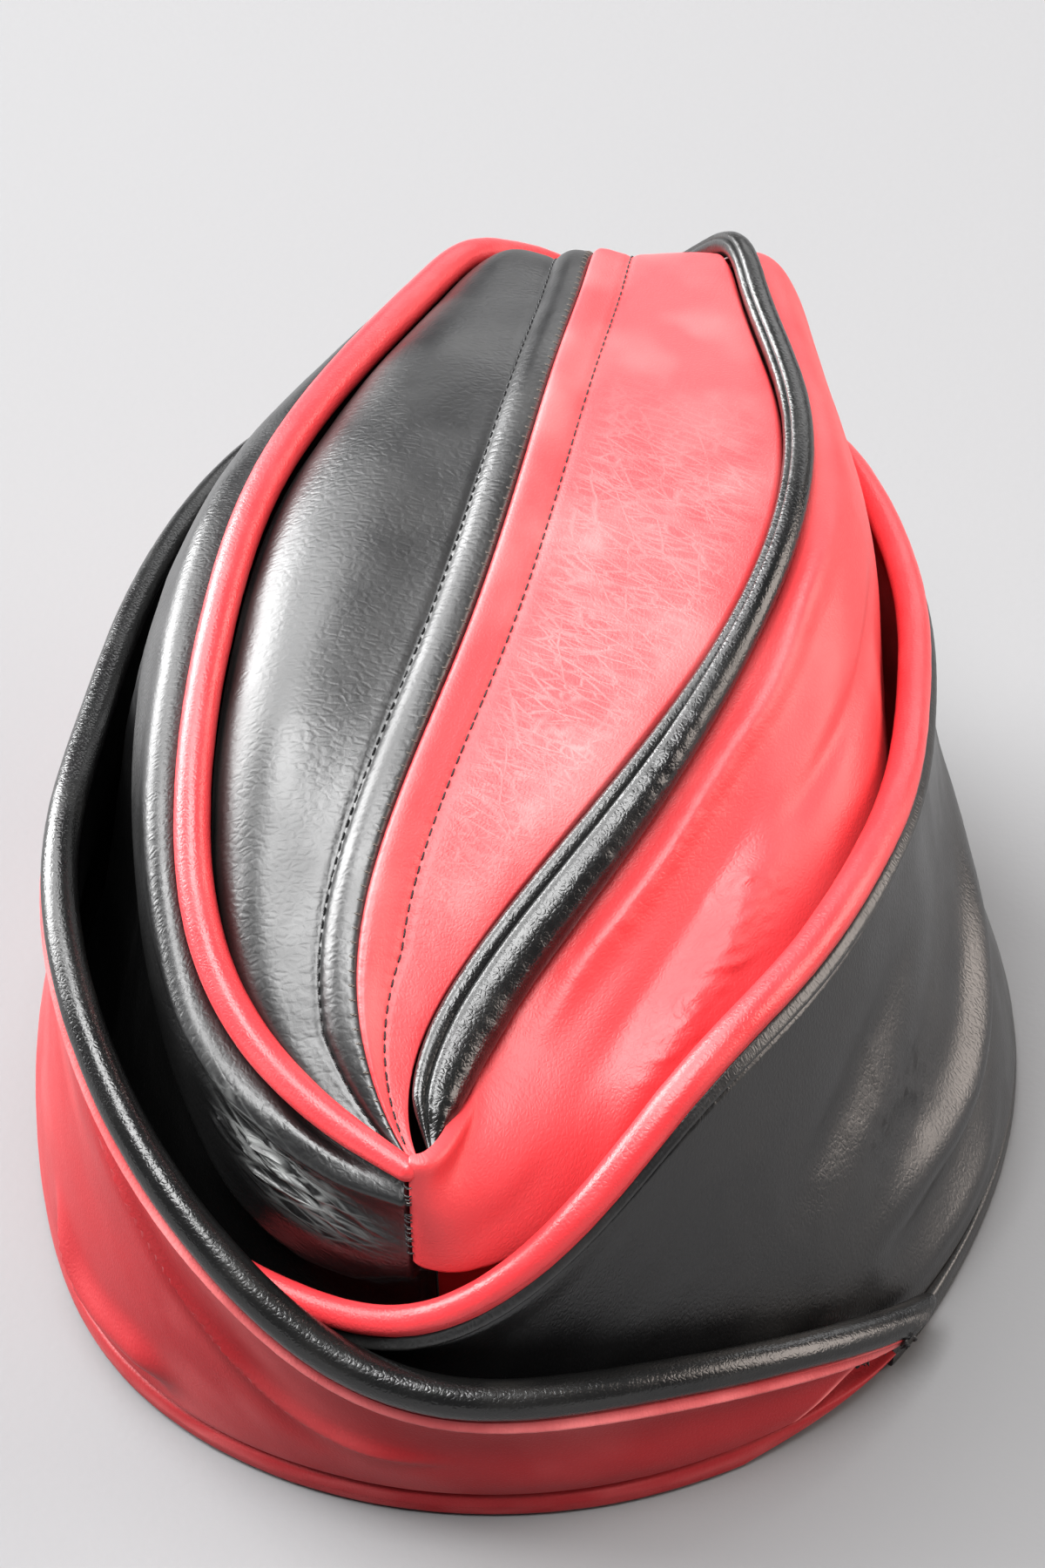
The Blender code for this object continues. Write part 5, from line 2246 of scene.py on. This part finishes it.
BLACK_DOME = (
    (0.0, 0.0), (0.15, 1.6), (0.35, 3.7), (0.5, 4.9), (0.65, 5.1), (0.8, 4.1), (0.92, 2.4),
    (1.0, 0.7),
)
RED_DOME = ((0.0, 0.0), (0.3, 0.6), (0.6, 1.1), (0.85, 1.3), (1.0, 1.2))
LEFT_SIDE_FOLDS = (
    Crease(((-106, 0.8), (-98, 0.7), (-92, 0.5), (-82, 0.0)), 1.5, -1.1, 0.35),
    Crease(((-70, 0.0), (-40, 0.0), (-20, 0.0), (60, 0.0)), 1.0, -0.5, 0.1),
    Crease(((-104, 3.6), (-98, 4.0), (-93.3, 5.0), (-89.1, 6.2), (-84.9, 6.3), (-76, 6.0),
            (-60, 6.4)), 1.6, 1.05, 0.35),
    Crease(((-104, 3.6), (-98, 4.0), (-93.3, 5.0), (-89, 6.0)), 1.1, 0.5, 0.3),
    Crease(((-93, 4.6), (-70, 4.4), (-45, 5.0), (-10, 5.8), (30, 6.5)), 4.0, 1.7, 0.25),
    Crease(((-104, 8.6), (-97, 9.0), (-90, 10.6), (-84, 10.4), (-70, 11.0), (-50, 13.0)),
           2.2, -1.1, 0.4),
    Crease(((-104, 16.0), (-97, 17.0), (-90, 19.5), (-84, 18.0), (-76, 16)), 4.5, 1.0, 0.4),
    Crease(((-78.5, 5.8), (-84.9, 7.8), (-88.3, 9.4), (-92.5, 12.6)), 0.38, 0.46, 0.35),
    Crease(((-78.0, 8.8), (-84.5, 9.2), (-88.0, 10.2), (-92.5, 13.6)), 0.36, 0.44, 0.35),
    Crease(((-78.4, 11.6), (-84.1, 10.6), (-87.4, 10.9), (-91.8, 14.5)), 0.40, 0.56, 0.35),
    Crease(((-79.0, 14.2), (-84.8, 12.6), (-88.3, 12.2), (-92.6, 14.4)), 0.38, 0.52, 0.35),
    Crease(((-80.0, 16.2), (-85.7, 14.6), (-90.1, 13.6), (-93.5, 14.0)), 0.38, 0.52, 0.35),
    Crease(((-81.5, 18.4), (-87.2, 16.4), (-92.2, 15.4)), 0.36, 0.44, 0.35),
    Crinkles(((-80, 13.0), (-86, 12.8), (-92, 13.9)), 2.4, 60, 3.6, 0.40, 0.35, 164, 12, 5),
)
LEFT_SIDE_LEDGES = (
    Ledge(((-104, 21), (-97.6, 21.5), (-92.5, 26), (-88, 28), (-85, 27), (-81, 24.5), (-77, 22),
           (-72.8, 20), (-64, 18), (-50, 17), (-30, 17)), 6.0, 9.0, 20.0),
)
RIGHT_SIDE_FOLDS = (
    Crease(((20, 6.6), (-9, 6.0), (-17.4, 7.2), (-32.6, 7.2), (-47.8, 8.4), (-61.3, 8.4),
            (-76, 10.0)), 2.5, 2.2, 0.25),
    Crease(((-26, 15.0), (-45.2, 16.8), (-54.5, 18.0), (-63.8, 19.0), (-80, 19.0)),
           3.0, -1.0, 0.4),
    Crease(((-30, 21.5), (-46.1, 23.0), (-54.5, 25.4), (-67.2, 26.4), (-82, 27)), 3.0, 0.8, 0.35),
    Crease(((24, 23.7), (-9.8, 21.4), (-27.5, 20.9), (-44.0, 20.5)), 2.4, -1.2, 0.35),
    Crease(((-92, 23.0), (-84, 27.5), (-72, 32.5), (-56, 32.0)), 1.4, -0.8, 0.35),
    Crease(((-97, 12), (-91, 16.5), (-84, 18), (-78, 17)), 3.6, -0.5, 0.4),
    Crinkles(((-42, 22.0), (-54.5, 25.0), (-66, 26.5)), 2.0, 110, 3.4, 0.40, 0.22, 62, 20, 8),
    Crinkles(((4, 6.4), (-30, 7.4), (-64, 8.8)), 1.6, 170, 3.2, 0.40, 0.11, 84, 14, 10),
)
RIGHT_SIDE_LEDGES = (
    Ledge(((-105, 21.4), (-98, 21.6), (-92.5, 22.4), (-89.2, 23.6), (-85, 26), (-80, 30)),
          9.0, 5.0, 8.0),
)
RIGHT_SIDE_WRAP = ((-69.0, -75.0), (-77.0, -50.0), (-83.0, -22.0), (-88.0, 8.0), (-99.0, 112.0))
LEFT_FLAP_FOLDS = (
    Crease(((-80, 6.5), (-66, 7.0), (-55.9, 8.6), (-46.5, 13.4), (-26.2, 19.4), (-12.7, 18.6),
            (8, 15.5)), 1.4, 1.9, 0.2),
    Crease(((-72, 10.5), (-56, 13.5), (-44, 18.0), (-26, 24.0), (-10, 22.5)), 2.8, -1.2, 0.3),
    Crease(((-84, 49), (-72, 56), (-60, 51), (-44, 42)), 3.0, 2.6, 0.25),
    Crease(((-86, 60), (-72, 67), (-58, 62), (-44, 52)), 6.0, -2.6, 0.25),
)
RIGHT_FLAP_FOLDS = (
    Crease(((188, 22), (164, 33), (146, 43), (133, 51), (119.4, 56.0), (99.2, 57.3), (72, 62)),
           5.6, 3.9, 0.42),
    Crease(((160, 50), (136, 60), (116, 65), (96, 66), (74, 69)), 4.4, -1.7, 0.42),
    Crease(((142, 70), (122, 74), (104, 75), (86, 75.0)), 2.6, 1.1, 0.42),
    Crease(((136, 20), (116, 29), (98, 36), (80, 44), (54, 54)), 5.5, 0.9, 0.42),
    Crease(((126, 12), (104, 22), (84, 30), (52, 42)), 4.8, -1.2, 0.42),
    Crinkles(((90, 36), (106, 45)), 5.0, 110, 4.6, 0.5, 0.28, 60, 22, 12),
    Crinkles(((70, 40), (52, 30)), 6.0, 60, 5.5, 0.6, 0.14, 50, 30, 13),
)


def main() -> None:
    """Build the cap's pieces in order, then its studio."""
    logging.basicConfig(level=logging.INFO, format="%(name)s: %(message)s")
    workshop = Workshop()
    left_flap = Table(FLAP_COLUMNS, LEFT_FLAP_ROWS)
    right_flap = Table(FLAP_COLUMNS, RIGHT_FLAP_ROWS)
    assemblies = (
        CrownTop(
            Side.LEFT, (BLACK, BLACK_FLESH), dome=BLACK_DOME, gap=0.1, shoulder=1.8, ridge=1.15,
            ridge_width=2.9,
        ),
        CrownTop(
            Side.RIGHT, (RED, RED_FLESH), dome=RED_DOME, gap=0.0, shoulder=1.0, ridge=0.9,
            ridge_width=3.0, ridge_place=1.4, crease_share=1.0, seed=7,
        ),
        CrownSide(
            Side.LEFT, (BLACK_SIDE, BLACK_FLESH), Table(SIDE_COLUMNS, LEFT_SIDE_ROWS),
            LEFT_SIDE_LEDGES, LEFT_SIDE_FOLDS,
        ),
        CrownSide(
            Side.RIGHT, (RED_SMOOTH, RED_FLESH), Table(SIDE_COLUMNS, RIGHT_SIDE_ROWS),
            RIGHT_SIDE_LEDGES, RIGHT_SIDE_FOLDS, RIGHT_SIDE_WRAP, waves=(0.3, 0.05), seed=37,
        ),
        CrestPiping(Side.LEFT, RED_CORD),
        CrestPiping(Side.RIGHT, BLACK_CORD, start_gap=4.5, seed=57),
        TurnUp(
            Side.LEFT, (SHADED_RED, RED_FLESH), BLACK_SMOOTH, BLACK_CORD, THREAD, left_flap,
            TAIL_ANGLE, -BACK_ANGLE, TAIL_ANGLE + CORD_LEAD, -CORD_END, LEFT_FLAP_FOLDS,
            # The tail's rolled strip is lightened strongly here: mostly a painted highlight.
            edge_wear_and_highlight=0.6, cut=23.0,
        ),
        TurnUp(
            Side.RIGHT, (BLACK_SMOOTH, BLACK_FLESH), RED_SMOOTH, RED_CORD, GREY_THREAD, right_flap,
            TUCK_ANGLE, BACK_ANGLE, TUCK_ANGLE, CORD_END, RIGHT_FLAP_FOLDS,
            edge_wear_and_highlight=0.25, seed=83,
        ),
        Hem(Side.LEFT, SHADED_RED, left_flap, TAIL_ANGLE, -BACK_ANGLE, rise=31.0),
        Hem(Side.RIGHT, BLACK_SMOOTH, right_flap, TAIL_ANGLE + 0.5, BACK_ANGLE, seed=97),
    )
    for assembly in assemblies:
        assembly.build(workshop)
    Studio().build()
    LOG.info("%d pieces", len(workshop.delivered))


if __name__ == "__main__":
    main()
